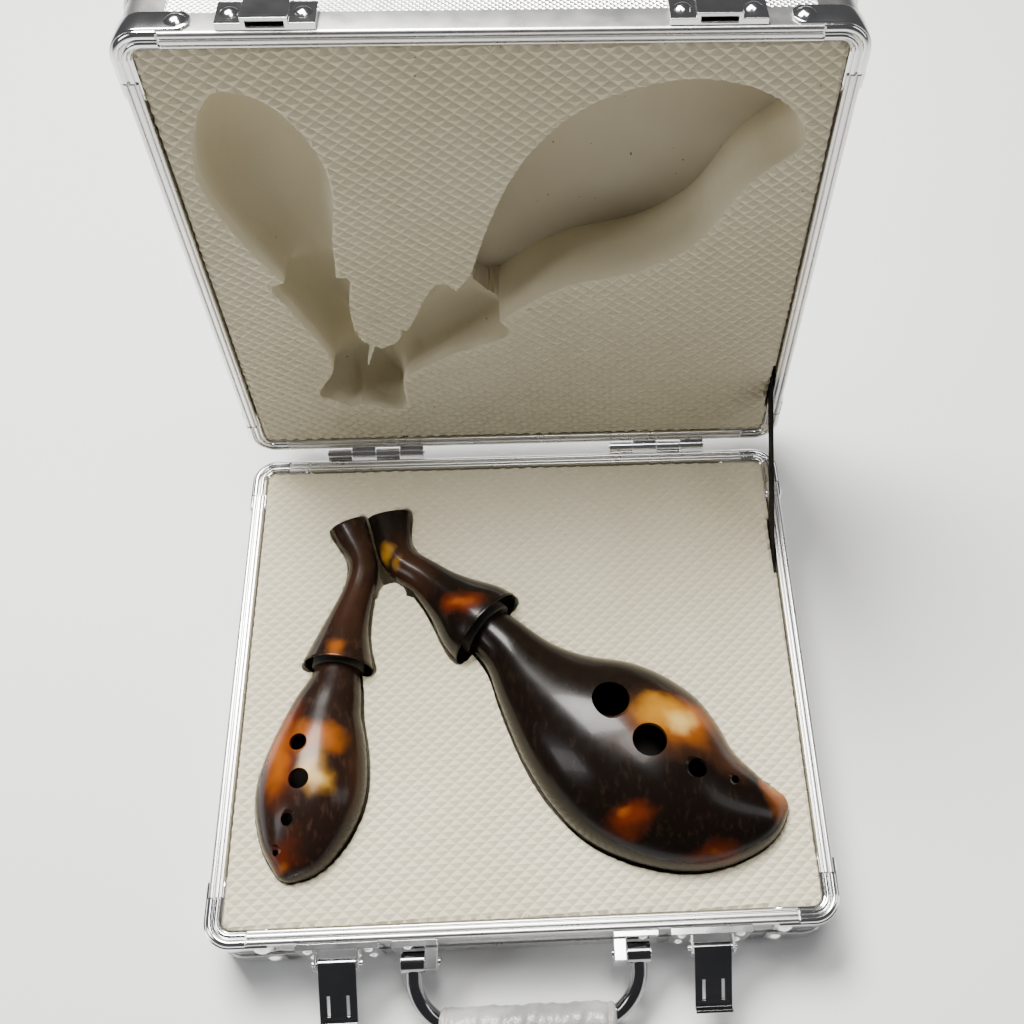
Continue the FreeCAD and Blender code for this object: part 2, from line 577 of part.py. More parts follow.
def keeper(side, x):
    """The lid's keeper: two wings and a raised bridge with a slot and a bar inside."""
    name = f"{side}_keeper"
    low = "dim.base_height + 1.5"
    wing = box(f"{name}_wings", ("dim.plate_width", "dim.plate_depth", "dim.keeper_wing"),
               (f"{x} - dim.plate_width / 2", f"{FRONT} - dim.plate_depth", low))
    bridge = box(f"{name}_bridge", ("dim.bridge_width", "dim.bridge_out", "dim.bridge_height"),
                 (f"{x} - dim.bridge_width / 2", f"{FRONT} - dim.bridge_out", low))
    channel = box(f"{name}_channel", ("dim.bridge_width - 3", "2.6", "dim.bridge_height - 4"),
                  (f"{x} - dim.bridge_width / 2 + 1.5", f"{FRONT} - dim.bridge_out + 1",
                   f"{low} - 1"))
    bar = box(f"{name}_bar", ("dim.bridge_width - 2", "1.2", "1.2"),
              (f"{x} - dim.bridge_width / 2 + 1", f"{FRONT} - 3", f"{low} + 2"))
    shell = cut(f"{name}_shell", fuse(f"{name}_blank", [wing, bridge]), channel)
    keep(fuse(name, [shell, bar]), f"keeper_{side}", LID_OPEN)


def latches():
    for side, sign in (("left", "-"), ("right", "")):
        x = f"{sign}{dim.latch_centre}"
        latch_plate(side, x)
        latch_lever(side, x)
        keeper(side, x)
        pin = rod(f"{side}_latch_pin", "dim.latch_pin", "dim.ear_gap + 2 * dim.ear + 2.4",
                  LATCH_PIN + Vector(float(x) - dim.ear_gap / 2 - dim.ear - 1.2, 0, 0), X_AXIS)
        keep(pin, f"latch_{side}_pin")


# ---------------------------------------------------------------- handle
HANDLE_PIVOT = Vector(0, -HALF_DEPTH - dim.pin_out, dim.handle_pivot_height)


def handle_bracket(side, sign):
    """A cast L bracket: a plate on the front wall and a thick ear on its inner side."""
    name = f"{side}_bracket"
    middle = sign * dim.handle_centre
    inner = middle - sign * (dim.hub_length / 2 + 0.6)
    plate_low = min(inner - sign * dim.bracket_ear, inner + sign * (dim.bracket_width
                                                                    - dim.bracket_ear))
    ear_low = min(inner, inner - sign * dim.bracket_ear)
    top = "dim.base_height - 1.5"
    plate = box(f"{name}_plate", ("dim.bracket_width", "dim.plate_depth", "dim.bracket_height"),
                (str(plate_low), f"{FRONT} - dim.plate_depth", f"{top} - dim.bracket_height"))
    ear = box(f"{name}_ear", ("dim.bracket_ear", "dim.ear_out", "dim.bracket_ear_height"),
              (str(ear_low), f"{FRONT} - dim.ear_out", f"{top} - dim.bracket_ear_height - 2"))
    bore = rod(f"{name}_bore", "dim.handle_pin + 0.05", "60",
               HANDLE_PIVOT + Vector(middle - 30, 0, 0), X_AXIS)
    keep(cut(name, fuse(f"{name}_blank", [plate, ear]), bore), f"handle_bracket_{side}")


def bail_arm(sign):
    """One arm: a hub on the pivot, a short run out and a bend that enters the grip."""
    radius = dim.bail_bend
    run = dim.handle_reach - radius
    x = sign * dim.handle_centre
    start, corner = Vector(x, 0, 0), Vector(x, -run, 0)
    middle = Vector(x - sign * radius * (1 - math.cos(math.radians(45))),
                    -run - radius * math.sin(math.radians(45)), 0)
    finish = Vector(x - sign * radius, -dim.handle_reach, 0)
    inside = Vector(0, -dim.handle_reach, 0)
    path = Part.Wire([Part.makeLine(start, corner), Part.Arc(corner, middle, finish).toShape(),
                      Part.makeLine(finish, inside)])
    section = Part.Wire(Part.makeCircle(dim.bail_radius, start, Y_AXIS))
    hub = Part.makeCylinder(dim.hub_radius, dim.hub_length,
                            Vector(x - dim.hub_length / 2, 0, 0), X_AXIS)
    return path.makePipeShell([section], True, True).fuse(hub)


def handle():
    handle_bracket("left", -1)
    handle_bracket("right", 1)
    bail = bail_arm(-1).fuse(bail_arm(1))
    bore = Part.makeCylinder(dim.handle_pin + 0.05, 2 * HALF_WIDTH, Vector(-HALF_WIDTH, 0, 0),
                             X_AXIS)
    bail = bail.cut(bore).removeSplitter()
    half = dim.grip_length / 2
    grip = Part.makeCylinder(dim.grip_radius, dim.grip_length,
                             Vector(-half, -dim.handle_reach, 0), X_AXIS)
    rims = [e for e in grip.Edges if e.Closed and len(e.Vertexes) == 1
            and abs(abs(e.CenterOfMass.x) - half) < 0.01]
    grip = grip.makeFillet(1.5, rims).cut(bail)
    droop = Placement(HANDLE_PIVOT, Rotation(X_AXIS, dim.handle_droop))
    keep(feature("bail_rod", bail.Solids[0]), "handle_bail", droop)
    keep(feature("grip_sleeve", grip.Solids[0]), "handle_grip", droop)
    length = dim.hub_length + dim.bracket_ear + 1.4
    pins = []
    for sign in (-1, 1):
        outer = sign * (dim.handle_centre + dim.hub_length / 2 + 0.4)
        low = min(outer, outer - sign * length)
        pins.append(Part.makeCylinder(dim.handle_pin, length,
                                      HANDLE_PIVOT + Vector(low, 0, 0), X_AXIS))
    keep(group("pivot_pins", pins), "handle_pins")


# ---------------------------------------------------------------- strap and rivets
STRAP_X = HALF_WIDTH - dim.strap_inset
STRAP_LOW = Vector(STRAP_X, HINGE.y - dim.strap_base, PARTING - dim.strap_depth)
STRAP_HIGH = LID_OPEN.multVec(Vector(STRAP_X, HINGE.y - dim.strap_lid,
                                     PARTING + dim.strap_depth))


def strap():
    """The stay tape, drawn taut between its two rivets inside the right wall."""
    span = STRAP_HIGH - STRAP_LOW
    tape = box("strap_tape", ("dim.strap", "dim.strap_width", str(span.Length + 4)),
               ("-dim.strap", "-dim.strap_width / 2", "-2"))
    keep(tape, "stay_strap", Placement(STRAP_LOW, Rotation(Z_AXIS, span)))


def fitting_rivets():
    """Rivets of the latches, brackets, hinges and keepers, as (base heads, lid heads)."""
    base, lid = [], []
    front = -HALF_DEPTH - dim.plate_depth
    small = dim.small_rivet
    for sign in (-1, 1):
        x = sign * dim.latch_centre
        for step in (-12.4, 12.4):
            for height in (PARTING - 6, PARTING - 22):
                base.append(dome(Vector(x + step, front, height), -Y_AXIS, small, 1))
            lid.append(dome(Vector(x + step, front, PARTING + 8), -Y_AXIS, 3.4, 1.4))
        x = sign * (dim.handle_centre + 1.5)
        for height in (PARTING - 4.6, PARTING - 22.4):
            base.append(dome(Vector(x, front, height), -Y_AXIS, small, 1))
        back = HALF_DEPTH + dim.hinge_leaf
        for step in (-16, 0, 16):
            x = sign * dim.hinge_centre + step
            base.append(dome(Vector(x, back, PARTING - 9), Y_AXIS, small, 1))
            lid.append(dome(Vector(x, back, PARTING + 9), Y_AXIS, small, 1))
    return base, lid


def rivets():
    base, lid = fitting_rivets()
    over = LID_OVER.inverse()
    for head in lid:
        head.Placement = over * head.Placement
    keep(group("base_rivet_set", base + corner_rivets(dim.base_height)), "base_rivets")
    keep(group("lid_rivet_set", lid + corner_rivets(dim.lid_height)), "lid_rivets", LID)
    heads, head_radius = [], dim.strap_width / 4
    for y, z in ((HINGE.y - dim.strap_base, PARTING - dim.strap_depth),
                 (HINGE.y - dim.strap_lid, PARTING + dim.strap_depth)):
        heads.append(dome(Vector(STRAP_X - dim.strap, y, z), -X_AXIS, head_radius, 0.6))
    keep(feature("strap_rivet_low", heads[0]), "strap_rivet_base")
    keep(feature("strap_rivet_high", heads[1]), "strap_rivet_lid", LID_OPEN)


# ---------------------------------------------------------------- build
def half_shell(half, panel_label, tall_alias, place, sides):
    tall = getattr(dim, tall_alias)
    floor_panel(panel_label, place)
    wall_panels(half, f"dim.{tall_alias}", place, sides)
    rim_rails(half, tall, place, sides)
    rim_corners(half, tall, place)
    corner_posts(half, tall, place)
    edge_extrusions(half, place)
    corner_caps(half, place)


def main():
    half_shell("base", "base_floor", "base_height", BASE, (("front", 1), ("back", -1)))
    half_shell("lid", "lid_top", "lid_height", LID, (("back", 1), ("front", -1)))
    base_foam()
    lid_foam()
    hinges()
    latches()
    handle()
    flute("big", BIG_BODY, BIG_MOUTH, BIG_HOLES, 14)
    flute("small", SMALL_BODY, SMALL_MOUTH, SMALL_HOLES, 11.8)
    strap()
    rivets()
    doc.recompute()
    export()


def export():
    """Check every object and shape, then write one STEP file for each sub-part."""
    for item in doc.Objects:
        if "Invalid" in item.State or "Error" in item.State:
            raise RuntimeError(f"{item.Name} failed: {item.State}")
    for item in subparts:
        if item.Shape.isNull() or not item.Shape.isValid():
            raise RuntimeError(f"{item.Label} has no valid shape")
    os.makedirs("parts", exist_ok=True)
    for item in subparts:
        item.Shape.exportStep(os.path.join("parts", item.Label + ".step"))
        print(f"{item.Label}: {len(item.Shape.Solids)} solids, {item.Shape.Volume:.0f} mm3")


main()
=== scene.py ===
"""Looks of the horn flute case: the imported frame's parts get finished meshes and materials.

Sizes are in millimetres and become metres in build(). Lid pieces are drawn with the lid
closed and then turned open about the hinge, as the CAD model does.
"""
import bmesh
import bpy
import json
import math
import numpy as np
from mathutils import Matrix, Vector, geometry, kdtree


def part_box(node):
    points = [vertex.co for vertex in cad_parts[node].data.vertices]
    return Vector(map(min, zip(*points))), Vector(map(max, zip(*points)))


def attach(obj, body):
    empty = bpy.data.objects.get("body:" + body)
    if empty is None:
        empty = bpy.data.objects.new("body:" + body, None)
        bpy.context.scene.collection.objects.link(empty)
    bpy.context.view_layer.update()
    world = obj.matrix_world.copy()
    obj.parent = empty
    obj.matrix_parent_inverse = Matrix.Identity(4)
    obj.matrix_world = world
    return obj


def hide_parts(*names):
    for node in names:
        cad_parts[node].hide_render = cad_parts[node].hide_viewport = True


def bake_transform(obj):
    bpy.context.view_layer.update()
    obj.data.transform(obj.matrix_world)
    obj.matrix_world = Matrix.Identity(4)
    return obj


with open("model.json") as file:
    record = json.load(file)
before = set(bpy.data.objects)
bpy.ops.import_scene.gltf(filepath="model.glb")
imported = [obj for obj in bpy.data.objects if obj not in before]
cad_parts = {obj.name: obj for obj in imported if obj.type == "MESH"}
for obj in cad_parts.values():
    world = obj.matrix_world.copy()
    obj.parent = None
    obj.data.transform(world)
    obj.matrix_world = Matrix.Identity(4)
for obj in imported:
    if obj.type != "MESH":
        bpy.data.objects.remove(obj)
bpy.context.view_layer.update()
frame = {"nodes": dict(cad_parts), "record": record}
NODES = frame["nodes"]
BODY_OF = {node: body for body, members in frame["record"]["behaviour"]["bodies"].items()
           for node in members}

MM = 0.001
LID_ANGLE = 95.7         # how far the lid is open, in degrees
HINGE = Vector((0, 0.1183, 0.038))
LID_OPEN = (Matrix.Translation(HINGE) @ Matrix.Rotation(math.radians(-LID_ANGLE), 4, "X")
            @ Matrix.Translation(-HINGE))
LID_SHUT = LID_OPEN.inverted()
PARTING = 38.0           # height of the plane where the closed halves meet


# ---- material helpers
class Shader:
    """A material under construction: a Principled BSDF and the nodes that feed it."""

    def __init__(self, name, **values):
        self.material = bpy.data.materials.new(name)
        self.material.use_nodes = True
        self.tree = self.material.node_tree
        self.surface = self.tree.nodes["Principled BSDF"]
        for key, value in values.items():
            self.surface.inputs[key.replace("_", " ")].default_value = value

    def node(self, kind, links=None, inputs=None, **settings):
        """Adds a node; links and inputs are keyed by socket name or number."""
        item = self.tree.nodes.new(kind)
        for key, value in settings.items():
            setattr(item, key, value)
        for key, value in (inputs or {}).items():
            item.inputs[key].default_value = value
        for key, source in (links or {}).items():
            self.tree.links.new(source, item.inputs[key])
        return item

    def feed(self, **sources):
        """Links sources to the surface's own sockets."""
        for key, source in sources.items():
            self.tree.links.new(source, self.surface.inputs[key.replace("_", " ")])

    def position(self, scale=(1, 1, 1)):
        """Object coordinates, stretched by scale."""
        coords = self.node("ShaderNodeTexCoord")
        return self.node("ShaderNodeMapping", {"Vector": coords.outputs["Object"]},
                         {"Scale": scale}).outputs["Vector"]

    def noise(self, scale, detail=3.0, stretch=(1, 1, 1)):
        """A noise socket; scale is in cells per metre."""
        return self.node("ShaderNodeTexNoise", {"Vector": self.position(stretch)},
                         {"Scale": scale, "Detail": detail, "Roughness": 0.5}
                         ).outputs["Fac"]

    def vector(self, operation, links, inputs=None):
        """A vector maths node; links and inputs are keyed as in node()."""
        return self.node("ShaderNodeVectorMath", links, inputs, operation=operation)

    def span(self, source, low, high, out_low=0.0, out_high=1.0):
        """Maps source from low..high to out_low..out_high, clamped."""
        return self.node("ShaderNodeMapRange", {"Value": source},
                         {"From Min": low, "From Max": high, "To Min": out_low,
                          "To Max": out_high}, interpolation_type="SMOOTHSTEP"
                         ).outputs["Result"]

    def mix(self, factor, low, high):
        """Mixes two colours, each a tuple or a socket, by a factor socket."""
        item = self.node("ShaderNodeMix", data_type="RGBA")
        self.tree.links.new(factor, item.inputs["Factor"])
        for socket, colour in ((item.inputs[6], low), (item.inputs[7], high)):
            if isinstance(colour, tuple):
                socket.default_value = (*colour, 1)
            else:
                self.tree.links.new(colour, socket)
        return item.outputs[2]

    def bump(self, height, depth):
        """Bump of that depth in metres from a height socket."""
        return self.node("ShaderNodeBump", {"Height": height},
                         {"Distance": depth, "Strength": 1.0}).outputs["Normal"]


def metal(name, colour, dull, roughness, spread=1.25):
    """Bare metal with slight tarnish and an uneven polish."""
    shader = Shader(name, Metallic=1.0)
    cloud = shader.noise(35.0, 3.0)
    shader.feed(Base_Color=shader.mix(shader.span(cloud, 0.3, 0.8), colour, dull))
    smudge = shader.noise(120.0, 3.0)
    shader.feed(Roughness=shader.span(smudge, 0.2, 0.9, roughness, roughness * spread))
    return shader.material


def foam_material():
    """Matt ivory foam with fine cells and a few specks."""
    shader = Shader("ivory_foam", Sheen_Weight=0.25, Sheen_Roughness=0.6,
                    Specular_IOR_Level=0.25)
    cloud = shader.span(shader.noise(14.0, 5.0), 0.3, 0.75)
    colour = shader.mix(cloud, (0.61, 0.55, 0.385), (0.675, 0.62, 0.455))
    cells = shader.noise(2600.0, 2.0)
    colour = shader.mix(shader.span(cells, 0.56, 0.74, 0.0, 0.35), colour, (0.42, 0.37, 0.28))
    specks = shader.noise(330.0, 1.0)
    colour = shader.mix(shader.span(specks, 0.80, 0.83), colour, (0.22, 0.18, 0.12))
    shader.feed(Base_Color=colour, Roughness=shader.span(cloud, 0, 1, 0.82, 0.95),
                Normal=shader.bump(cells, 0.00012))
    return shader.material


def liner_material():
    """The smooth skin behind the lid's foam."""
    shader = Shader("smooth_liner", Specular_IOR_Level=0.35)
    cloud = shader.span(shader.noise(22.0, 4.0), 0.3, 0.75)
    colour = shader.mix(cloud, (0.53, 0.475, 0.35), (0.60, 0.545, 0.42))
    specks = shader.noise(420.0, 1.0)
    colour = shader.mix(shader.span(specks, 0.77, 0.80), colour, (0.20, 0.16, 0.11))
    shader.feed(Base_Color=colour, Roughness=shader.span(cloud, 0, 1, 0.55, 0.7),
                Normal=shader.bump(shader.noise(700.0, 3.0), 0.00006))
    return shader.material


def webbing_material():
    """Black woven tape with fine fibres along it."""
    shader = Shader("black_webbing", Specular_IOR_Level=0.12)
    fibre = shader.noise(3000.0, 2.0, (1, 0.25, 0.25))
    shader.feed(Base_Color=shader.mix(shader.span(fibre, 0.35, 0.7), (0.003, 0.003, 0.003),
                                      (0.014, 0.014, 0.013)),
                Roughness=shader.span(fibre, 0.3, 0.7, 0.6, 0.85),
                Normal=shader.bump(fibre, 0.00006))
    return shader.material


def grip_material():
    """Grey moulded vinyl with a fine leather grain."""
    shader = Shader("grey_grip", Specular_IOR_Level=0.5, Coat_Weight=0.15,
                    Coat_Roughness=0.3)
    cells = shader.node("ShaderNodeTexVoronoi", {"Vector": shader.position()},
                        {"Scale": 900.0}).outputs["Distance"]
    cloud = shader.span(shader.noise(60.0, 4.0), 0.3, 0.7)
    colour = shader.mix(cloud, (0.24, 0.235, 0.225), (0.40, 0.39, 0.375))
    colour = shader.mix(shader.span(cells, 0.0, 0.25, 0.6, 0.0), colour, (0.20, 0.195, 0.19))
    shader.feed(Base_Color=colour, Roughness=shader.span(cells, 0, 0.6, 0.42, 0.28),
                Normal=shader.bump(cells, 0.00012))
    return shader.material


def horn_material(name, patches, ground=(0.0045, 0.0026, 0.0017)):
    """Polished horn: a near-black ground with warm patches.

    Each patch is a place (mm), its reach along X, Y and Z (mm), a colour and a strength.
    """
    shader = Shader(name, Coat_Weight=0.1, Coat_Roughness=0.05, Coat_IOR=1.35, IOR=1.34,
                    Specular_IOR_Level=0.32)
    flow = shader.node("ShaderNodeTexNoise", {"Vector": shader.position()},
                       {"Scale": 48.0, "Detail": 3.0, "Roughness": 0.5})
    warp = shader.vector("SUBTRACT", {0: flow.outputs["Color"]}, {1: (0.5, 0.5, 0.5)})
    sway = shader.vector("SCALE", {0: warp.outputs[0]}, {"Scale": 0.02})
    place = shader.vector("ADD", {0: shader.position(), 1: sway.outputs[0]})
    streaks = shader.noise(420.0, 5.0, (1, 0.35, 1))
    colour = shader.mix(shader.span(streaks, 0.5, 0.75), ground,
                        tuple(2.6 * c for c in ground))
    for centre, reach, tint, strength in patches:
        away = shader.vector("SUBTRACT", {0: place.outputs[0]},
                             {1: tuple(c * MM for c in centre)})
        shrunk = shader.vector("DIVIDE", {0: away.outputs[0]},
                               {1: tuple(r * MM for r in reach)})
        distance = shader.vector("LENGTH", {0: shrunk.outputs[0]}).outputs["Value"]
        colour = shader.mix(shader.span(distance, 0.1, 1.35, strength, 0.0), colour, tint)
    shader.feed(Base_Color=colour,
                Roughness=shader.span(shader.noise(90.0, 4.0), 0.3, 0.75, 0.2, 0.27),
                Normal=shader.bump(shader.noise(1500.0, 2.0), 0.000004))
    return shader.material


def plain_material(name, dark, light, scale, rough_low, rough_high, depth):
    """A non-metal with cloudy colour, used for thread, raw horn and the floor."""
    shader = Shader(name)
    cloud = shader.span(shader.noise(scale, 4.0), 0.3, 0.7)
    shader.feed(Base_Color=shader.mix(cloud, dark, light),
                Roughness=shader.span(cloud, 0, 1, rough_low, rough_high),
                Normal=shader.bump(shader.noise(scale * 8, 2.0), depth))
    return shader.material


# ---- mesh helpers
def build(name, points, faces, body, materials, lid=False, smooth=180.0, stands_for=()):
    """A finished piece from points in mm; a lid piece is drawn closed and turned open."""
    mesh = bpy.data.meshes.new(name)
    mesh.from_pydata([Vector(p) * MM for p in points], [], [list(f) for f in faces])
    mesh.update()
    if lid:
        mesh.transform(LID_OPEN)
    mesh.shade_smooth()
    mesh.set_sharp_from_angle(angle=math.radians(smooth))
    for material in materials:
        mesh.materials.append(material)
    item = bpy.data.objects.new(name, mesh)
    bpy.context.scene.collection.objects.link(item)
    if body:
        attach(item, body)
    if stands_for:
        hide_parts(*stands_for)
    return item


def tube(rings, around, start=0):
    """Quads that join that many rings of points, one ring after another."""
    return [(start + a * around + k, start + a * around + (k + 1) % around,
             start + (a + 1) * around + (k + 1) % around, start + (a + 1) * around + k)
            for a in range(rings - 1) for k in range(around)]


def welded(node, turn=Matrix.Identity(4)):
    """A CAD node's mesh, moved by turn, with its doubled points joined."""
    mesh = bmesh.new()
    mesh.from_mesh(NODES[node].data)
    mesh.transform(turn)
    bmesh.ops.remove_doubles(mesh, verts=mesh.verts, dist=0.002 * MM)
    return mesh


def refined(node, material, width=0.25, segments=2):
    """A CAD node's shape as a new piece with rounded edges and flat faces kept flat."""
    sharp = math.radians(35.0)
    mesh = welded(node)
    bmesh.ops.dissolve_limit(mesh, angle_limit=math.radians(0.6), verts=mesh.verts,
                             edges=mesh.edges)
    mesh.verts.index_update()
    points = [v.co / MM for v in mesh.verts]
    faces = [[v.index for v in f.verts] for f in mesh.faces]
    mesh.free()
    item = build(node + "_finished", points, faces, BODY_OF[node], [material],
                 smooth=35.0, stands_for=[node])
    bevel = item.modifiers.new("edges", "BEVEL")
    bevel.width, bevel.segments = width * MM, segments
    bevel.limit_method, bevel.angle_limit = "ANGLE", sharp
    bevel.harden_normals = True
    bevel.use_clamp_overlap = True


def local_box(node, lid):
    """A node's box in mm, a lid node's with the lid closed."""
    turn = LID_SHUT if lid else Matrix.Identity(4)
    places = np.array([turn @ v.co for v in NODES[node].data.vertices]) / MM
    return places.min(axis=0), places.max(axis=0)


def loops_at(node, level, lid):
    """Closed outlines in plan (mm) of a node's flat faces at one level."""
    mesh = welded(node, LID_SHUT if lid else Matrix.Identity(4))
    flat = {f for f in mesh.faces if all(abs(v.co.z / MM - level) < 0.02 for v in f.verts)}
    follows = {}
    for edge in mesh.edges:
        if sum(f in flat for f in edge.link_faces) == 1:
            a, b = edge.verts
            follows.setdefault(a, []).append(b)
            follows.setdefault(b, []).append(a)
    loops = []
    while follows:
        start = here = next(iter(follows))
        loop = []
        while here in follows:
            loop.append((here.co.x / MM, here.co.y / MM))
            onward = [v for v in follows.pop(here) if v in follows]
            here = onward[0] if onward else start
        loops.append(np.array(loop))
    mesh.free()
    return sorted(loops, key=lambda loop: -np.ptp(loop[:, 0]))


def even_loop(loop, step):
    """The loop resampled at an even step, its sharp corners kept."""
    ends = np.roll(loop, -1, axis=0)
    points = []
    for a, b in zip(loop, ends):
        parts = max(1, int(round(np.linalg.norm(b - a) / step)))
        points += [a + (b - a) * k / parts for k in range(parts)]
    points = np.array(points)
    kept = [points[0]]
    for p in points[1:]:
        if np.linalg.norm(p - kept[-1]) > 0.45 * step:
            kept.append(p)
    if np.linalg.norm(kept[-1] - kept[0]) < 0.45 * step:
        kept.pop()
    return np.array(kept)


def inside(points, loop):
    """Which plan points are inside a closed loop."""
    order = np.argsort(points[:, 1])
    x, y = points[order, 0], points[order, 1]
    crossed = np.zeros(len(points), bool)
    for (x0, y0), (x1, y1) in zip(loop, np.roll(loop, -1, axis=0)):
        if y0 != y1:
            part = slice(*np.searchsorted(y, sorted((y0, y1))))
            crossed[part] ^= x[part] < (x1 - x0) * (y[part] - y0) / (y1 - y0) + x0
    result = np.empty(len(points), bool)
    result[order] = crossed
    return result


def distance_to(points, loop):
    """Distance of each plan point from the nearest point of a loop."""
    tree = kdtree.KDTree(len(loop))
    for index, (x, y) in enumerate(loop):
        tree.insert((x, y, 0), index)
    tree.balance()
    return np.array([tree.find((x, y, 0))[2] for x, y in points])


def turns_left(loop):
    """Whether a closed loop runs anticlockwise."""
    ends = np.roll(loop, -1, axis=0)
    return np.sum(loop[:, 0] * ends[:, 1] - ends[:, 0] * loop[:, 1]) > 0


def rounded_tip(loop, centre, radius, reach, towards):
    """The loop with the pointed foam tongue near centre drawn as a round one."""
    centre, towards = np.array(centre, float), np.array(towards, float)
    away = loop - centre
    gap = np.linalg.norm(away, axis=1)
    ahead = away @ (towards / np.linalg.norm(towards))
    near = (gap < reach) & (ahead > -0.15 * radius)
    loop = loop.copy()
    loop[near] = centre + away[near] / gap[near, None] * radius
    return loop


# ---- foam
EMBOSS = 1.15            # height of the foam's pyramids
CELL = (3.165, 2.63)     # half diagonals of one pyramid's base
# One pyramid's points: tip, corner, middles of two base edges and a point on each ridge.
PYRAMID = [(0, 0), (0.5, 0.5), (0.5, 0), (0, 0.5), (0.23, 0.23), (-0.23, -0.23),
           (0.23, -0.23), (-0.23, 0.23)]


def emboss(points, tilt):
    """Depth below the foam's face of its embossed pyramids, 0 at a tip."""
    turn = math.radians(tilt)
    x = points[:, 0] * math.cos(turn) + points[:, 1] * math.sin(turn)
    y = -points[:, 0] * math.sin(turn) + points[:, 1] * math.cos(turn)
    u, v = (x / CELL[0] + y / CELL[1]) / 2, (x / CELL[0] - y / CELL[1]) / 2
    off = np.maximum(np.abs(u - np.round(u)), np.abs(v - np.round(v))) * 2
    return EMBOSS * np.clip((off - 0.06) / 0.9, 0, 1)


def lattice(low, high, tilt, motif, pitch):
    """Plan points repeated on the pyramids' grid, so that their ridges stay crisp."""
    turn = math.radians(tilt)
    reach = int(np.abs([low, high]).max() / min(CELL) / pitch) + 2
    i, j = np.meshgrid(np.arange(-reach, reach + 1), np.arange(-reach, reach + 1))
    motif = np.array(motif)
    u = ((i.ravel()[:, None] + motif[:, 0]) * pitch).ravel()
    v = ((j.ravel()[:, None] + motif[:, 1]) * pitch).ravel()
    x, y = (u + v) * CELL[0], (u - v) * CELL[1]
    points = np.stack([x * math.cos(turn) - y * math.sin(turn),
                       x * math.sin(turn) + y * math.cos(turn)], axis=1)
    return points[((points > low) & (points < high)).all(axis=1)]


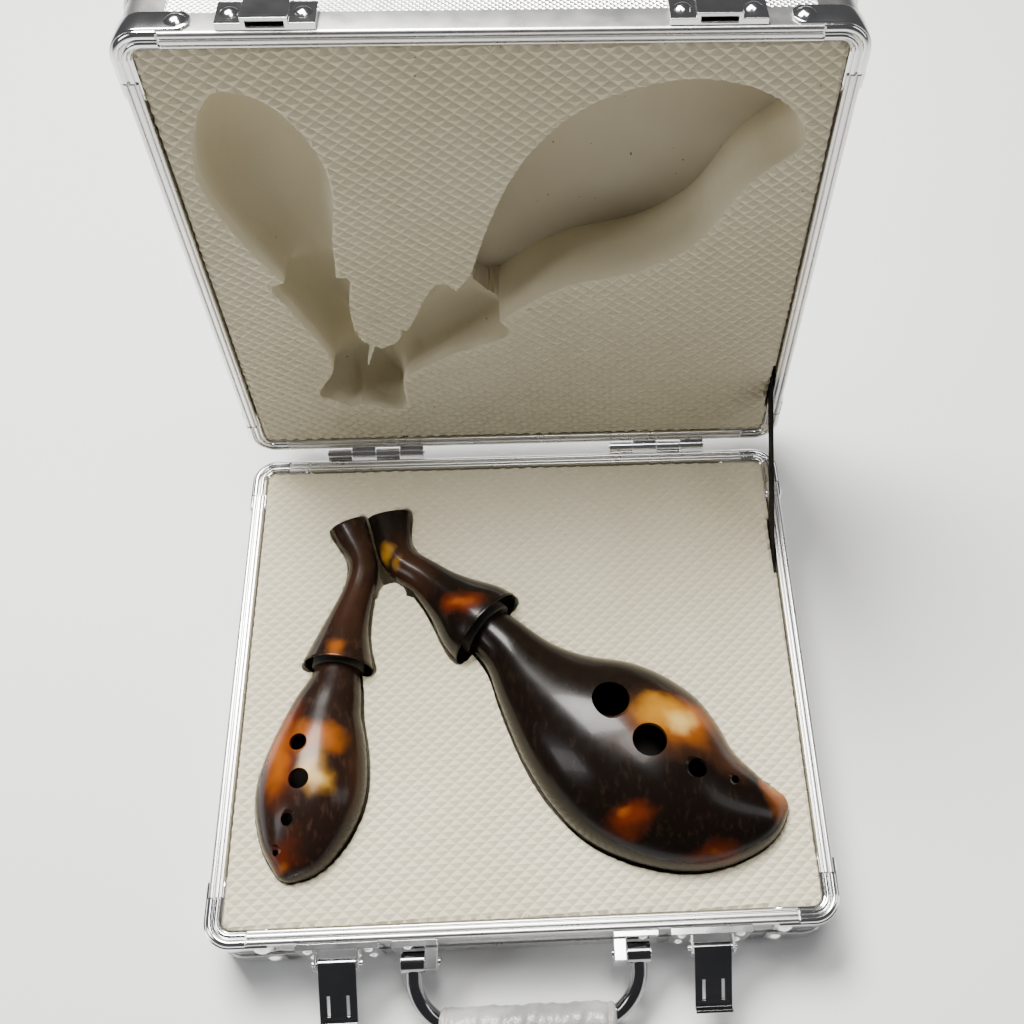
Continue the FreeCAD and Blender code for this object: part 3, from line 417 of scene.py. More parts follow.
def foam_piece(name, node, lid, face, back, tilt, tongue, floor, materials, is_liner, seed):
    """A foam block with an embossed face and a pocket cut to shaped floors.

    Depth is measured from the face into the foam; floor gives it for plan points.
    """
    edge, pocket = [even_loop(loop, 0.9) for loop in loops_at(node, face, lid)[:2]]
    pocket = even_loop(rounded_tip(pocket, *tongue), 0.9)
    edge = edge * (1 + 0.5 / np.abs(edge).max(axis=0))
    waver = np.random.default_rng(seed)
    field = lattice(edge.min(axis=0), edge.max(axis=0), tilt, PYRAMID, 1.0)
    near = np.minimum(distance_to(field, edge), distance_to(field, pocket))
    in_pocket = inside(field, pocket)
    field = field[inside(field, edge) & (near > 0.35) & ~in_pocket]
    coarse = lattice(pocket.min(axis=0), pocket.max(axis=0), tilt, [(0, 0)], 0.4)
    coarse = coarse[inside(coarse, pocket) & (distance_to(coarse, pocket) > 0.8)]
    plan = np.concatenate([edge, pocket, field, coarse])
    n_edge, n_pocket = len(edge), len(pocket)
    rims = [(k, (k + 1) % n_edge) for k in range(n_edge)]
    rims += [(n_edge + k, n_edge + (k + 1) % n_pocket) for k in range(n_pocket)]
    flat = geometry.delaunay_2d_cdt([Vector(p) for p in plan], rims, [], 0, 1e-7)
    places = np.array([tuple(v) for v in flat[0]])
    given = [ids[0] if ids else -1 for ids in flat[3]]
    index_of = {old: new for new, old in enumerate(given) if old >= 0}
    triangles = np.array(flat[2])
    middles = places[triangles].mean(axis=1)
    sunk = inside(middles, pocket)
    lined = sunk & is_liner(middles)
    kept = inside(middles, edge)

    top = emboss(places, tilt)
    round_over = np.clip(1 - distance_to(places, edge) / 1.6, 0, 1)
    top = top + 0.8 * round_over ** 2
    lip = np.clip(1 - distance_to(places, pocket) / 1.3, 0, 1)
    top = top + 0.35 * lip ** 2
    deep = floor(places, distance_to(places, pocket))
    sign = -1 if lid else 1

    points, faces, tags = [], [], []
    number = {}

    def point(key, x, y, depth):
        if key not in number:
            number[key] = len(points)
            points.append((x, y, face - sign * depth))
        return number[key]

    def add(corners, tag=0):
        faces.append(corners if sign > 0 else corners[::-1])
        tags.append(tag)

    def band(upper, lower, forwards):
        for k in range(len(upper)):
            m = (k + 1) % len(upper)
            quad = [upper[k], upper[m], lower[m], lower[k]]
            add(quad if forwards else quad[::-1])

    for triangle, low, tag, keep in zip(triangles, sunk, lined, kept):
        if not keep:
            continue
        depths = deep if low else top
        corners = [point((low, v), *places[v], depths[v]) for v in triangle]
        add(corners, int(tag))

    ring = [index_of[n_edge + k] for k in range(n_pocket)]
    loop = places[ring]
    normal = np.roll(loop, -1, axis=0) - np.roll(loop, 1, axis=0)
    normal = np.stack([normal[:, 1], -normal[:, 0]], axis=1)
    normal /= np.linalg.norm(normal, axis=1, keepdims=True)
    rows = 9
    phases = waver.uniform(0, 2 * math.pi, 6)
    run = np.arange(n_pocket) * 0.9
    rings = []
    for row in range(rows + 1):
        share = row / rows
        if row in (0, rows):
            depths = (top if row == 0 else deep)[ring]
            rings.append([point((row != 0, v), *places[v], d) for v, d in zip(ring, depths)])
            continue
        wave = sum(np.sin(run / length + phases[k] + 2.3 * share * k)
                   for k, length in enumerate((2.1, 3.7, 7.3, 13.0, 1.3, 29.0))) / 6
        bulge = (0.34 * wave + 0.25 * math.sin(math.pi * share)) * math.sin(math.pi * share)
        spots = loop + normal * bulge[:, None] * -1
        depths = top[ring] + (deep[ring] - top[ring]) * share
        rings.append([point(("wall", row, k), *spots[k], depths[k])
                      for k in range(n_pocket)])
    for upper, lower in zip(rings, rings[1:]):
        band(upper, lower, turns_left(loop))

    brink = [index_of[k] for k in range(n_edge)]
    upper = [point((False, v), *places[v], top[v]) for v in brink]
    leftwards = turns_left(edge)
    for row, share in enumerate((0.08, 0.5, 1.0)):
        depth = abs(face - back) * share
        lower = [point(("side", row, v), *places[v], depth) for v in brink]
        band(upper, lower, not leftwards)
        upper = lower
    add(upper[::-1] if leftwards else upper)

    item = build(name, points, faces, BODY_OF[node], materials, lid, 42.0, [node])
    item.data.polygons.foreach_set("material_index", tags)


def foams(foam, liner):
    """Both foam blocks; the lid's larger recess goes through to the smooth liner."""
    big_floor = loops_at("base_foam", 10.0, False)[0]

    def base_floor(points, gap):
        full = np.where(inside(points, big_floor), 27.4, 18.6)
        return full - 4.0 * np.clip(1 - gap / 6.0, 0, 1) ** 2

    foam_piece("base_foam_block", "base_foam", False, 37.4, 4.0, 2.2,
               ((-60.3, 39.5), 6.6, 20.0, (0, 1)), base_floor, [foam, liner],
               lambda points: np.zeros(len(points), bool), 11)

    through = loops_at("lid_foam", 75.0, True)[1]
    brim = even_loop(through, 0.3)

    def is_through(points):
        return inside(points, through) | (distance_to(points, brim) < 0.35)

    def lid_floor(points, gap):
        scoop = 11.0 + 16.2 * np.sqrt(np.clip(1 - np.clip(1 - gap / 15.0, 0, 1) ** 2, 0, 1))
        return np.where(is_through(points), 36.3, scoop)

    foam_piece("lid_foam_block", "lid_foam", True, 38.6, 75.0, -2.6,
               ((-58.3, 32.6), 9.6, 22.0, (0, 1)), lid_floor, [foam, liner], is_through, 12)


# ---- embossed panels
STUD = 1.25              # half diagonal of one pressed diamond
STUD_RISE = 0.28


def embossed_panel(node, outward, lid, material):
    """A panel whose outer face carries pressed diamonds; its other faces are flat."""
    low, high = local_box(node, lid)
    axis = int(np.argmax(np.abs(outward)))
    across, up = [k for k in range(3) if k != axis]
    sign = outward[axis]
    counts = [max(2, int(round((high[k] - low[k]) / STUD))) for k in (across, up)]
    face = high[axis] if sign > 0 else low[axis]
    back = low[axis] if sign > 0 else high[axis]
    sunk = 0.05              # how far the panel's plain level lies below its box's face
    points, faces = [], []
    for i in range(counts[0] + 1):
        for j in range(counts[1] + 1):
            edge = i in (0, counts[0]) or j in (0, counts[1])
            rise = STUD_RISE if (i + j) % 2 == 0 and not edge else 0.0
            spot = [0.0, 0.0, 0.0]
            spot[across] = low[across] + (high[across] - low[across]) * i / counts[0]
            spot[up] = low[up] + (high[up] - low[up]) * j / counts[1]
            spot[axis] = face - sign * sunk + sign * rise
            points.append(tuple(spot))
    wide = counts[1] + 1

    def at(i, j):
        return i * wide + j

    for i in range(counts[0]):
        for j in range(counts[1]):
            a, b, c, d = at(i, j), at(i + 1, j), at(i + 1, j + 1), at(i, j + 1)
            if (i + j) % 2 == 0:
                faces += [(a, b, d), (b, c, d)]
            else:
                faces += [(a, b, c), (a, c, d)]
    sides = [[at(i, 0) for i in range(counts[0] + 1)],
             [at(counts[0], j) for j in range(counts[1] + 1)],
             [at(i, counts[1]) for i in range(counts[0], -1, -1)],
             [at(0, j) for j in range(counts[1], -1, -1)]]
    behind = []
    for side in sides:
        spot = list(points[side[0]])
        spot[axis] = back
        behind.append(len(points))
        points.append(tuple(spot))
    for k, side in enumerate(sides):
        faces.append(tuple(side[::-1]) + (behind[k], behind[(k + 1) % 4]))
    faces.append(tuple(behind[::-1]))
    if (sign > 0) != (axis != 1):
        faces = [tuple(f[::-1]) for f in faces]
    build(node + "_embossed", points, faces, BODY_OF[node], [material],
          lid, 20.0, [node])


# ---- rims
# Profiles across a rim: distance in from the case's outer face, height from the rim's top.
RAIL = [(0, -12), (0, -1.5), (0.12, -0.85), (0.45, -0.35), (0.9, -0.08), (1.5, 0), (1.85, -0.1),
        (2.0, -0.35), (2.05, -1.0), (2.5, -1.0), (2.55, -0.35), (2.7, -0.1), (3.0, 0),
        (4.1, 0), (4.35, -0.1), (4.5, -0.35), (4.55, -1.0), (4.95, -1.0), (5.0, -0.4),
        (5.15, -0.15), (5.5, -0.12), (5.85, -0.35), (6, -0.8), (6, -8), (5, -8), (5, -1.5),
        (1, -1.5), (1, -12)]
CHANNEL = [(-0.35, -11.8), (-0.35, -1.6), (-0.2, -0.9), (0.2, -0.35), (0.8, 0.02), (1.5, 0.1),
           (2.1, -0.05), (2.45, -0.45), (2.6, -1.0), (2.9, -1.2), (3.2, -1.0), (3.35, -0.4),
           (3.7, -0.02), (4.3, 0.08), (4.8, -0.05), (5.1, -0.45), (5.2, -1.0), (5.5, -1.1),
           (5.7, -0.8), (6.0, -0.75), (6.35, -1.0), (6.4, -1.5), (6.4, -7.8), (5.1, -7.8),
           (5.1, -1.6), (0.9, -1.6), (0.9, -11.8)]
GUARD = [(-1.0, -11.2), (-1.0, -2.0), (-0.85, -1.55), (-0.5, -1.35), (0.3, -1.4),
         (0.3, -11.8), (-0.6, -11.75), (-0.9, -11.55)]
TONGUE = [(5.6, -1.1), (6.3, -1.05), (6.6, -1.3), (6.65, -1.8), (6.65, -7.2), (6.4, -7.5),
          (5.8, -7.5)]
HALF_WIDTH, HALF_DEPTH, CORNER = 131.0, 115.0, 11.0
SEAM_X, SEAM_Y, GUARD_LEG = 17.0, 19.0, 28.0
SEAM_GAP = 0.7


def corner_path(reach_x, reach_y):
    """Plan points and inward directions along a front right corner's outer face."""
    places, inward = [], []
    for run in np.linspace(HALF_WIDTH - reach_x, HALF_WIDTH - CORNER, 8, endpoint=False):
        places.append((run, -HALF_DEPTH))
        inward.append((0, 1))
    for k in range(17):
        angle = math.radians(-90 + 90 * k / 16)
        out = (math.cos(angle), math.sin(angle))
        places.append((HALF_WIDTH - CORNER + CORNER * out[0],
                       -HALF_DEPTH + CORNER + CORNER * out[1]))
        inward.append((-out[0], -out[1]))
    for run in np.linspace(-HALF_DEPTH + CORNER, -HALF_DEPTH + reach_y, 9)[1:]:
        places.append((HALF_WIDTH, run))
        inward.append((-1, 0))
    return np.array(places), np.array(inward)


def sweep(points, faces, profile, places, inward, top, sign, rounded=0.0):
    """Adds a profile swept along a path; rounded draws the ends' corners in (mm)."""
    start, count, last = len(points), len(profile), len(places) - 1
    run = np.concatenate([[0], np.cumsum(np.linalg.norm(np.diff(places, axis=0), axis=1))])
    lows, highs = min(w for _, w in profile), max(w for _, w in profile)
    middle = (lows + highs) / 2
    for index, (place, into) in enumerate(zip(places, inward)):
        left = min(run[index], run[last] - run[index])
        pull = 1.0
        if rounded and left < rounded:
            inset = rounded - math.sqrt(rounded ** 2 - (rounded - left) ** 2)
            pull = 1 - inset / (highs - middle)
        for u, w in profile:
            spot = place + into * u
            points.append((spot[0], spot[1], top + sign * (middle + (w - middle) * pull)))
    faces += tube(last + 1, count, start)
    faces.append(tuple(start + k for k in range(count))[::-1])
    faces.append(tuple(start + last * count + k for k in range(count)))


def mirrored(places, inward, flip_x, flip_y):
    """A corner's path moved to another corner, kept running the same way round."""
    scale = np.array([flip_x, flip_y])
    places, inward = places * scale, inward * scale
    if flip_x * flip_y < 0:
        places, inward = places[::-1], inward[::-1]
    return places, inward


def rims(half, satin, chrome):
    """A half's rim: four straight extrusions and four chrome corner pieces."""
    lid = half == "lid"
    top, sign = (PARTING + 0.2, -1) if lid else (PARTING - 0.2, 1)
    long_x, long_y = HALF_WIDTH - SEAM_X - SEAM_GAP, HALF_DEPTH - SEAM_Y - SEAM_GAP
    runs = {"front": ((-long_x, -HALF_DEPTH), (long_x, -HALF_DEPTH), (0, 1)),
            "right": ((HALF_WIDTH, -long_y), (HALF_WIDTH, long_y), (-1, 0)),
            "back": ((long_x, HALF_DEPTH), (-long_x, HALF_DEPTH), (0, -1)),
            "left": ((-HALF_WIDTH, long_y), (-HALF_WIDTH, -long_y), (1, 0))}
    for side, (start, end, into) in runs.items():
        points, faces = [], []
        places = np.linspace(start, end, 25)
        sweep(points, faces, RAIL, places, np.array([into] * 25), top, sign)
        if not lid:
            faces = [f[::-1] for f in faces]
        node = f"{half}_rail_{side}"
        build(node + "_ribbed", points, faces, BODY_OF[node], [satin], lid, 40.0,
              [node])
    points, faces = [], []
    for flip_x in (1, -1):
        for flip_y in (1, -1):
            for profile, reach_x, reach_y, rounded in (
                    (CHANNEL, SEAM_X, SEAM_Y, 0.0), (GUARD, GUARD_LEG, GUARD_LEG, 3.0),
                    (TONGUE, GUARD_LEG, GUARD_LEG, 1.5)):
                path = mirrored(*corner_path(reach_x, reach_y), flip_x, flip_y)
                sweep(points, faces, profile, *path, top, sign, rounded)
    if not lid:
        faces = [f[::-1] for f in faces]
    node = f"{half}_rim_corners"
    build(node + "_ribbed", points, faces, BODY_OF[node], [chrome], lid, 40.0, [node])


# ---- flutes
# Stations as in the CAD model: x, y, half width across, half height.
BIG_BODY = [(-21, 26, 11.2, 11.2), (-15.5, 20, 11.6, 11.6), (-11, 15.5, 12.4, 12.2),
            (-4.5, 8.5, 13.8, 13.2), (3.5, -2, 18.2, 16), (11.5, -11.5, 23.6, 19.2),
            (20, -20, 29.7, 22.5), (30, -28.5, 35.5, 25.3), (42, -38.5, 39.2, 27.3),
            (54, -49, 39.6, 27.6), (67, -58.5, 35.7, 25.6), (81.5, -65.5, 29, 21.2),
            (95.5, -68, 20.6, 15.6), (106.5, -67.3, 12.3, 9.5), (113, -65.5, 4.5, 3.5)]
BIG_MOUTH = [(-63.4, 82.4, 10.3, 4.4), (-61.6, 71.7, 8.9, 5.2), (-59.3, 61.6, 8.4, 6.4),
             (-54.5, 54.5, 8.5, 7.6), (-47.2, 49, 8.9, 8.6), (-38.3, 41.2, 10.8, 10.8),
             (-29.3, 32.8, 15, 14.6), (-21.5, 25.5, 19.2, 18.6), (-15.5, 20, 20.6, 20)]
BIG_HOLES = [(39, -24, 8.15), (54.5, -43.5, 7.25), (74, -55.5, 4), (90.5, -59, 1.6)]
SMALL_BODY = [(-82.7, 13, 9.5, 9.5), (-83.2, 3.2, 9.8, 9.8), (-83.8, -2.5, 11.2, 10.8),
              (-85, -9.5, 13.4, 12.4), (-87, -18, 16, 14), (-88.5, -29, 19.5, 16.2),
              (-89.8, -41, 22.3, 18), (-91.4, -54, 23.5, 18.8), (-93.2, -66, 21.3, 17.4),
              (-95.5, -76.6, 16.8, 14), (-98, -84.5, 10.8, 9.2), (-99.8, -89, 4.5, 4)]
SMALL_MOUTH = [(-83, 78.2, 8.8, 4.2), (-79.2, 69, 7.9, 4.8), (-75.9, 61, 6.8, 5.6),
               (-74.2, 52, 7, 6.6), (-75.7, 42, 7.3, 7.2), (-78, 33, 8.4, 8.4),
               (-80.6, 22.2, 10.6, 10.6), (-82.3, 11.4, 13.7, 13.7), (-83.2, 3.2, 16.2, 16.2)]
SMALL_HOLES = [(-95.5, -35.5, 3.65), (-93.5, -52, 4.25), (-97.5, -68.5, 2.5),
               (-102.5, -80.5, 1.25)]
AROUND = 96
WALL = 3.0


class Loft:
    """A smooth run through stations; section() gives a ring of points anywhere on it."""

    def __init__(self, stations):
        table = np.array(stations, float)
        gaps = np.linalg.norm(np.diff(table[:, :2], axis=0), axis=1)
        self.knots = np.concatenate([[0], np.cumsum(gaps)])
        self.length = self.knots[-1]
        self.table = table
        self.bends = self._second_derivatives()

    def _second_derivatives(self):
        knots, table = self.knots, self.table
        count = len(knots)
        system, right = np.eye(count), np.zeros_like(table)
        for i in range(1, count - 1):
            before, after = knots[i] - knots[i - 1], knots[i + 1] - knots[i]
            system[i, i - 1:i + 2] = before, 2 * (before + after), after
            right[i] = 6 * ((table[i + 1] - table[i]) / after
                            - (table[i] - table[i - 1]) / before)
        return np.linalg.solve(system, right)

    def _between(self, run):
        """The spline's x, y, half width and half height, within the stations."""
        i = min(int(np.searchsorted(self.knots, run, side="right")) - 1, len(self.knots) - 2)
        step = self.knots[i + 1] - self.knots[i]
        a, b = (self.knots[i + 1] - run) / step, (run - self.knots[i]) / step
        return (a * self.table[i] + b * self.table[i + 1]
                + ((a ** 3 - a) * self.bends[i] + (b ** 3 - b) * self.bends[i + 1])
                * step ** 2 / 6)

    def at(self, run):
        """x, y, half width and half height at a run length; straight beyond the ends."""
        held = min(max(run, 0.0), self.length)
        value = self._between(held)
        value[:2] += self.heading(held) * (run - held)
        return value

    def heading(self, run):
        """The run's direction in plan, as a unit vector."""
        held = min(max(run, 0.01), self.length - 0.01)
        low, high = [self._between(held + d)[:2] for d in (-0.01, 0.01)]
        return (high - low) / np.linalg.norm(high - low)

    def section(self, run, across=None, tall=None, grow=0.0):
        """An elliptic ring across the run; its half axes are the loft's own, or given."""
        x, y, half, high = self.at(run)
        across = half + grow if across is None else across
        tall = high + grow if tall is None else tall
        heading = self.heading(run)
        side = np.array([-heading[1], heading[0]])
        angles = np.arange(AROUND) * 2 * math.pi / AROUND
        ring = np.empty((AROUND, 3))
        ring[:, :2] = np.array([x, y]) + np.outer(np.cos(angles) * across, side)
        ring[:, 2] = PARTING + np.sin(angles) * tall
        return ring


def skin(rings, closed, caps):
    """Points and faces through rings; closed joins the last ring to the first."""
    points = [tuple(p) for ring in rings for p in ring]
    last = len(rings) - 1
    faces = tube(len(rings), AROUND)
    if closed:
        faces += [(last * AROUND + k, last * AROUND + (k + 1) % AROUND, (k + 1) % AROUND, k)
                  for k in range(AROUND)]
    if caps:
        for index in (0, last):
            centre = len(points)
            points.append(tuple(np.mean(rings[index], axis=0)))
            for k in range(AROUND):
                a, b = index * AROUND + k, index * AROUND + (k + 1) % AROUND
                faces.append((centre, a, b) if index else (centre, b, a))
    return points, faces


def drill(name, loft, x, y, radius):
    """A cutter for one finger hole at x, y, with a flared mouth."""
    run = min(np.linspace(0, loft.length, 400),
              key=lambda r: abs(np.dot(np.array([x, y]) - loft.at(r)[:2], loft.heading(r))))
    cx, cy, half, high = loft.at(run)
    heading = loft.heading(run)
    side = np.array([-heading[1], heading[0]])
    offset = float(np.dot(np.array([x, y]) - (cx, cy), side))
    rise = high * math.sqrt(max(0.02, 1 - (offset / half) ** 2))
    normal = Vector([*(side * offset / half ** 2), rise / high ** 2]).normalized()
    normal = (normal + Vector((0, 0, 1.6))).normalized()
    surface = Vector((x, y, PARTING + rise))
    profile = [(-WALL * 2.6, radius), (-0.55, radius), (-0.2, radius + 0.12),
               (0.05, radius + 0.38), (0.9, radius + 1.6), (4, radius + 1.6)]
    turn = Vector((0, 0, 1)).rotation_difference(normal).to_matrix()
    count = 48
    angles = [2 * math.pi * k / count for k in range(count)]
    spots = [surface + turn @ Vector((r * math.cos(a), r * math.sin(a), h))
             for h, r in profile for a in angles]
    sides = tube(len(profile), count)
    sides.append(tuple(range(count))[::-1])
    sides.append(tuple(range((len(profile) - 1) * count, len(profile) * count)))
    mesh = bpy.data.meshes.new(f"{name}_drill")
    mesh.from_pydata([p * MM for p in spots], [], sides)
    cutter = bpy.data.objects.new(f"{name}_drill", mesh)
    bpy.context.scene.collection.objects.link(cutter)
    return cutter


def flute_body(name, stations, holes, materials, slot):
    """A hollow horn vessel with drilled finger holes."""
    loft = Loft(stations)
    steps = 110
    outer = [loft.section(loft.length * k / steps) for k in range(steps + 1)]
    end, before = loft.at(loft.length), loft.at(loft.length - 0.5)
    # The blunt end is part of a ball that continues the walls' slope.
    bend = math.atan(0.5 / (before[2] - end[2]))
    ball = end[2] / math.sin(bend)
    for k in range(1, 9):
        angle = bend * (1 - k / 9)
        share = math.sin(angle) / math.sin(bend)
        outer.append(loft.section(loft.length + ball * (math.cos(angle) - math.cos(bend)),
                                  end[2] * share, end[3] * share))
    stop = max(run for run in np.linspace(0, loft.length, 200) if loft.at(run)[3] > 2.4 * WALL)
    inner = [loft.section(stop * k / 60, grow=-WALL) for k in range(61)]
    last = loft.at(stop)
    for k in range(1, 7):
        angle = k * math.pi / 2 / 7
        inner.append(loft.section(stop + 3 * math.sin(angle),
                                  (last[2] - WALL) * math.cos(angle),
                                  (last[3] - WALL) * math.cos(angle)))
    points, faces = skin(inner[::-1] + outer, False, True)
    item = build(name, points, faces, None, materials)
    hollow = len(inner) * AROUND
    tags = [int(min(face) < hollow - AROUND) for face in faces]
    item.data.polygons.foreach_set("material_index", tags)
    cutters = [drill(name, loft, *hole) for hole in holes]
    for cutter in cutters:
        cut = item.modifiers.new("hole", "BOOLEAN")
        cut.operation, cut.object, cut.solver = "DIFFERENCE", cutter, "EXACT"
    bpy.context.view_layer.update()
    done = bpy.data.meshes.new_from_object(
        item.evaluated_get(bpy.context.evaluated_depsgraph_get()))
    item.modifiers.clear()
    item.data = done
    for cutter in cutters:
        bpy.data.objects.remove(cutter)
    done.shade_smooth()
    done.set_sharp_from_angle(angle=math.radians(28))
    item.name = done.name = name
    node = slot.replace("horn", "flute") + "_body"
    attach(item, BODY_OF[node])
    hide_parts(node)


def mouthpiece(name, node, stations, neck, ring_radius, material):
    """A horn mouthpiece: flat bit, slim waist, flared skirt with a rolled lip."""
    loft = Loft(stations)
    bore, slit = 2.6, (3.4, 1.2)
    nose, lip, thick = 1.0, 1.5, 1.4
    steps = 90
    first = loft.at(0)
    rings = []
    for k in range(7):
        angle = math.pi / 2 * k / 7
        shrink = nose * (1 - math.sin(angle))
        rings.append(loft.section(nose * (1 - math.cos(angle)) - 0.01, first[2] - shrink,
                                  first[3] - shrink))
    stop = loft.length - lip
    for k in range(steps + 1):
        rings.append(loft.section(nose + (stop - nose) * k / steps))
    end = loft.at(stop)
    for k in range(1, 11):
        angle = math.pi * k / 10
        swell, fold = 0.5 * math.sin(angle), thick * (1 - math.cos(angle)) / 2
        rings.append(loft.section(stop + lip * math.sin(angle) * 0.9, end[2] + swell - fold,
                                  end[3] + swell - fold))
    brink = end[2] - thick, end[3] - thick
    for k in range(1, 7):
        share = k / 6
        rings.append(loft.section(stop - 3.2 * math.sin(math.pi / 2 * share),
                                  *[b + (ring_radius + 0.1 - b) * share for b in brink]))
    seat = loft.length - np.linalg.norm(np.array(stations[-1][:2]) - np.array(neck[0][:2]))
    socket = neck[0][2] + 0.15, neck[0][3] + 0.15
    for run, sizes in ((stop - 3.6, socket), (seat - 0.4, socket), (seat - 0.6, (bore, bore)),
                       (seat * 0.75, (bore, bore)), (seat * 0.5, (bore, bore)),
                       (seat * 0.3, (bore, bore)), (9, slit), (0.6, slit),
                       (0.02, (slit[0] + 0.4, slit[1] + 0.4))):
        rings.append(loft.section(run, *sizes))
    points, faces = skin(rings, True, False)
    build(name, points, faces, BODY_OF[node], [material], smooth=38.0,
          stands_for=[node])


def lapping(name, node, stations, mouth, radius, material):
    """Waxed thread wound round the neck under the skirt, with its turns showing."""
    outer, inner_loft = Loft(mouth), Loft(stations)
    turns, fine, width = 6, 6, 4.0
    base = outer.length - 3
    rings = []
    for k in range(turns * fine + 1):
        share = k / (turns * fine)
        bead = abs(math.sin(math.pi * turns * share))
        size = radius - 0.5 + 0.45 * bead - (0.5 if k in (0, turns * fine) else 0)
        rings.append(outer.section(base + width * share, size, size))
    middle = inner_loft.at(np.linalg.norm(np.array(mouth[-1][:2]) - np.array(stations[0][:2])))
    rings.append(outer.section(base + width, middle[2] + 0.3, middle[3] + 0.3))
    rings.append(outer.section(base, middle[2] + 0.1, middle[3] + 0.1))
    points, faces = skin(rings, True, False)
    build(name, points, faces, BODY_OF[node], [material], smooth=60.0,
          stands_for=[node])


# The horn's colours, and its patches: place, reach along X, Y and Z, colour, strength. Two of
# the small flute's patches sit where a highlight falls and are partly painted highlight.
AMBER, TAN, ORANGE = (0.36, 0.165, 0.012), (0.50, 0.33, 0.095), (0.27, 0.07, 0.004)
RUST, BROWN, UMBER = (0.11, 0.016, 0.003), (0.055, 0.02, 0.008), (0.03, 0.012, 0.006)
BIG_PATCHES = [
    ((70, -34, 58), (34, 17, 26), BROWN, 0.9), ((72, -32, 62), (24, 11, 18), ORANGE, 0.9),
    ((63, -29, 66), (13, 8, 12), AMBER, 1.0), ((70, -33, 65), (9, 5.5, 9), TAN, 0.95),
    ((45, -74, 54), (12, 7, 10), RUST, 0.95), ((42, -72, 56), (4, 3, 5), ORANGE, 0.5),
    ((80, -88, 44), (14, 7, 9), RUST, 0.8), ((78, -88, 43), (6, 3, 6), ORANGE, 0.6),
    ((110, -64, 44), (8, 11, 10), ORANGE, 1.0), ((112, -62, 46), (5, 7, 6), AMBER, 0.95),
    ((95, -50, 52), (14, 9, 12), BROWN, 0.8),
    ((-27, 28, 55), (12, 8, 10), RUST, 0.95), ((-28, 29, 57), (6, 4, 6), ORANGE, 0.7),
    ((-50, 50, 44), (16, 20, 16), UMBER, 0.9), ((-63, 57, 44), (3.5, 4.5, 5), AMBER, 0.6),
    ((-57, 53, 46), (2.5, 3, 4), AMBER, 0.5),
]
SMALL_PATCHES = [
    ((-101, -38, 47), (11, 26, 16), RUST, 0.85), ((-103, -40, 48), (7, 20, 12), ORANGE, 0.8),
    # The amber patch at (-87, -50, 57) is partly the horn's own amber and partly painted
    # highlight; the pale tan patch at (-86, -52, 58) is a painted highlight.
    ((-86, -34, 54), (12, 8, 9), ORANGE, 0.85), ((-87, -50, 57), (7, 11, 8), AMBER, 0.9),
    ((-86, -52, 58), (4, 7, 5), TAN, 0.8), ((-97, -16, 46), (4, 9, 9), BROWN, 0.8),
    ((-98, -80, 46), (10, 11, 9), RUST, 0.8), ((-98, -87, 43), (5, 4, 6), ORANGE, 0.6),
    ((-72, -50, 46), (7, 22, 10), UMBER, 0.7),
    ((-80, 9, 53), (6, 5, 7), ORANGE, 0.8), ((-77, 40, 44), (10, 34, 14), UMBER, 0.9),
]


# ---- strap and grip
def strap(material):
    """Woven tape from the base to the lid, ribbed."""
    low, high = [np.array(v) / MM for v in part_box("stay_strap")]
    mesh = welded("stay_strap")
    points = np.array([v.co for v in mesh.verts]) / MM
    mesh.free()
    plan = points[:, 1:]
    centre = plan.mean(axis=0)
    _, _, axes = np.linalg.svd(plan - centre)
    along = axes[0] if axes[0][1] > 0 else -axes[0]
    across = np.array([-along[1], along[0]])
    spread = (plan - centre) @ along
    half = np.abs((plan - centre) @ across).max()
    start, end = spread.min(), spread.max()
    x_in, x_out = low[0], high[0]
    pitch, lanes = 0.55, 10  # length of one rib; ribs across the tape
    count = int((end - start) / pitch)
    grid = {}
    out = []
    for side, x_face in ((0, x_out), (1, x_in)):
        for i in range(count + 1):
            for j in range(lanes + 1):
                run = start + (end - start) * i / count
                lane = -half + 2 * half * j / lanes
                rib = 0.1 * math.cos(math.pi * i) * math.cos(math.pi * j)
                edge = 0.28 if j in (0, lanes) else 0.12
                inwards = (-1 if side == 0 else 1) * (edge + rib)
                spot = centre + along * run + across * lane
                grid[side, i, j] = len(out)
                out.append((x_face + inwards, spot[0], spot[1]))
    faces = []

    def face(*corners):
        faces.append(tuple(grid[corner] for corner in corners))

    for i in range(count):
        for j in range(lanes):
            face((0, i, j), (0, i + 1, j), (0, i + 1, j + 1), (0, i, j + 1))
            face((1, i, j), (1, i, j + 1), (1, i + 1, j + 1), (1, i + 1, j))
        face((0, i, 0), (1, i, 0), (1, i + 1, 0), (0, i + 1, 0))
        face((0, i, lanes), (0, i + 1, lanes), (1, i + 1, lanes), (1, i, lanes))
    for j in range(lanes):
        face((0, 0, j), (0, 0, j + 1), (1, 0, j + 1), (1, 0, j))
        face((0, count, j), (1, count, j), (1, count, j + 1), (0, count, j + 1))
    item = build("stay_strap_woven", out, faces, None, [material], smooth=180.0,
                 stands_for=["stay_strap"])
    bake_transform(item)


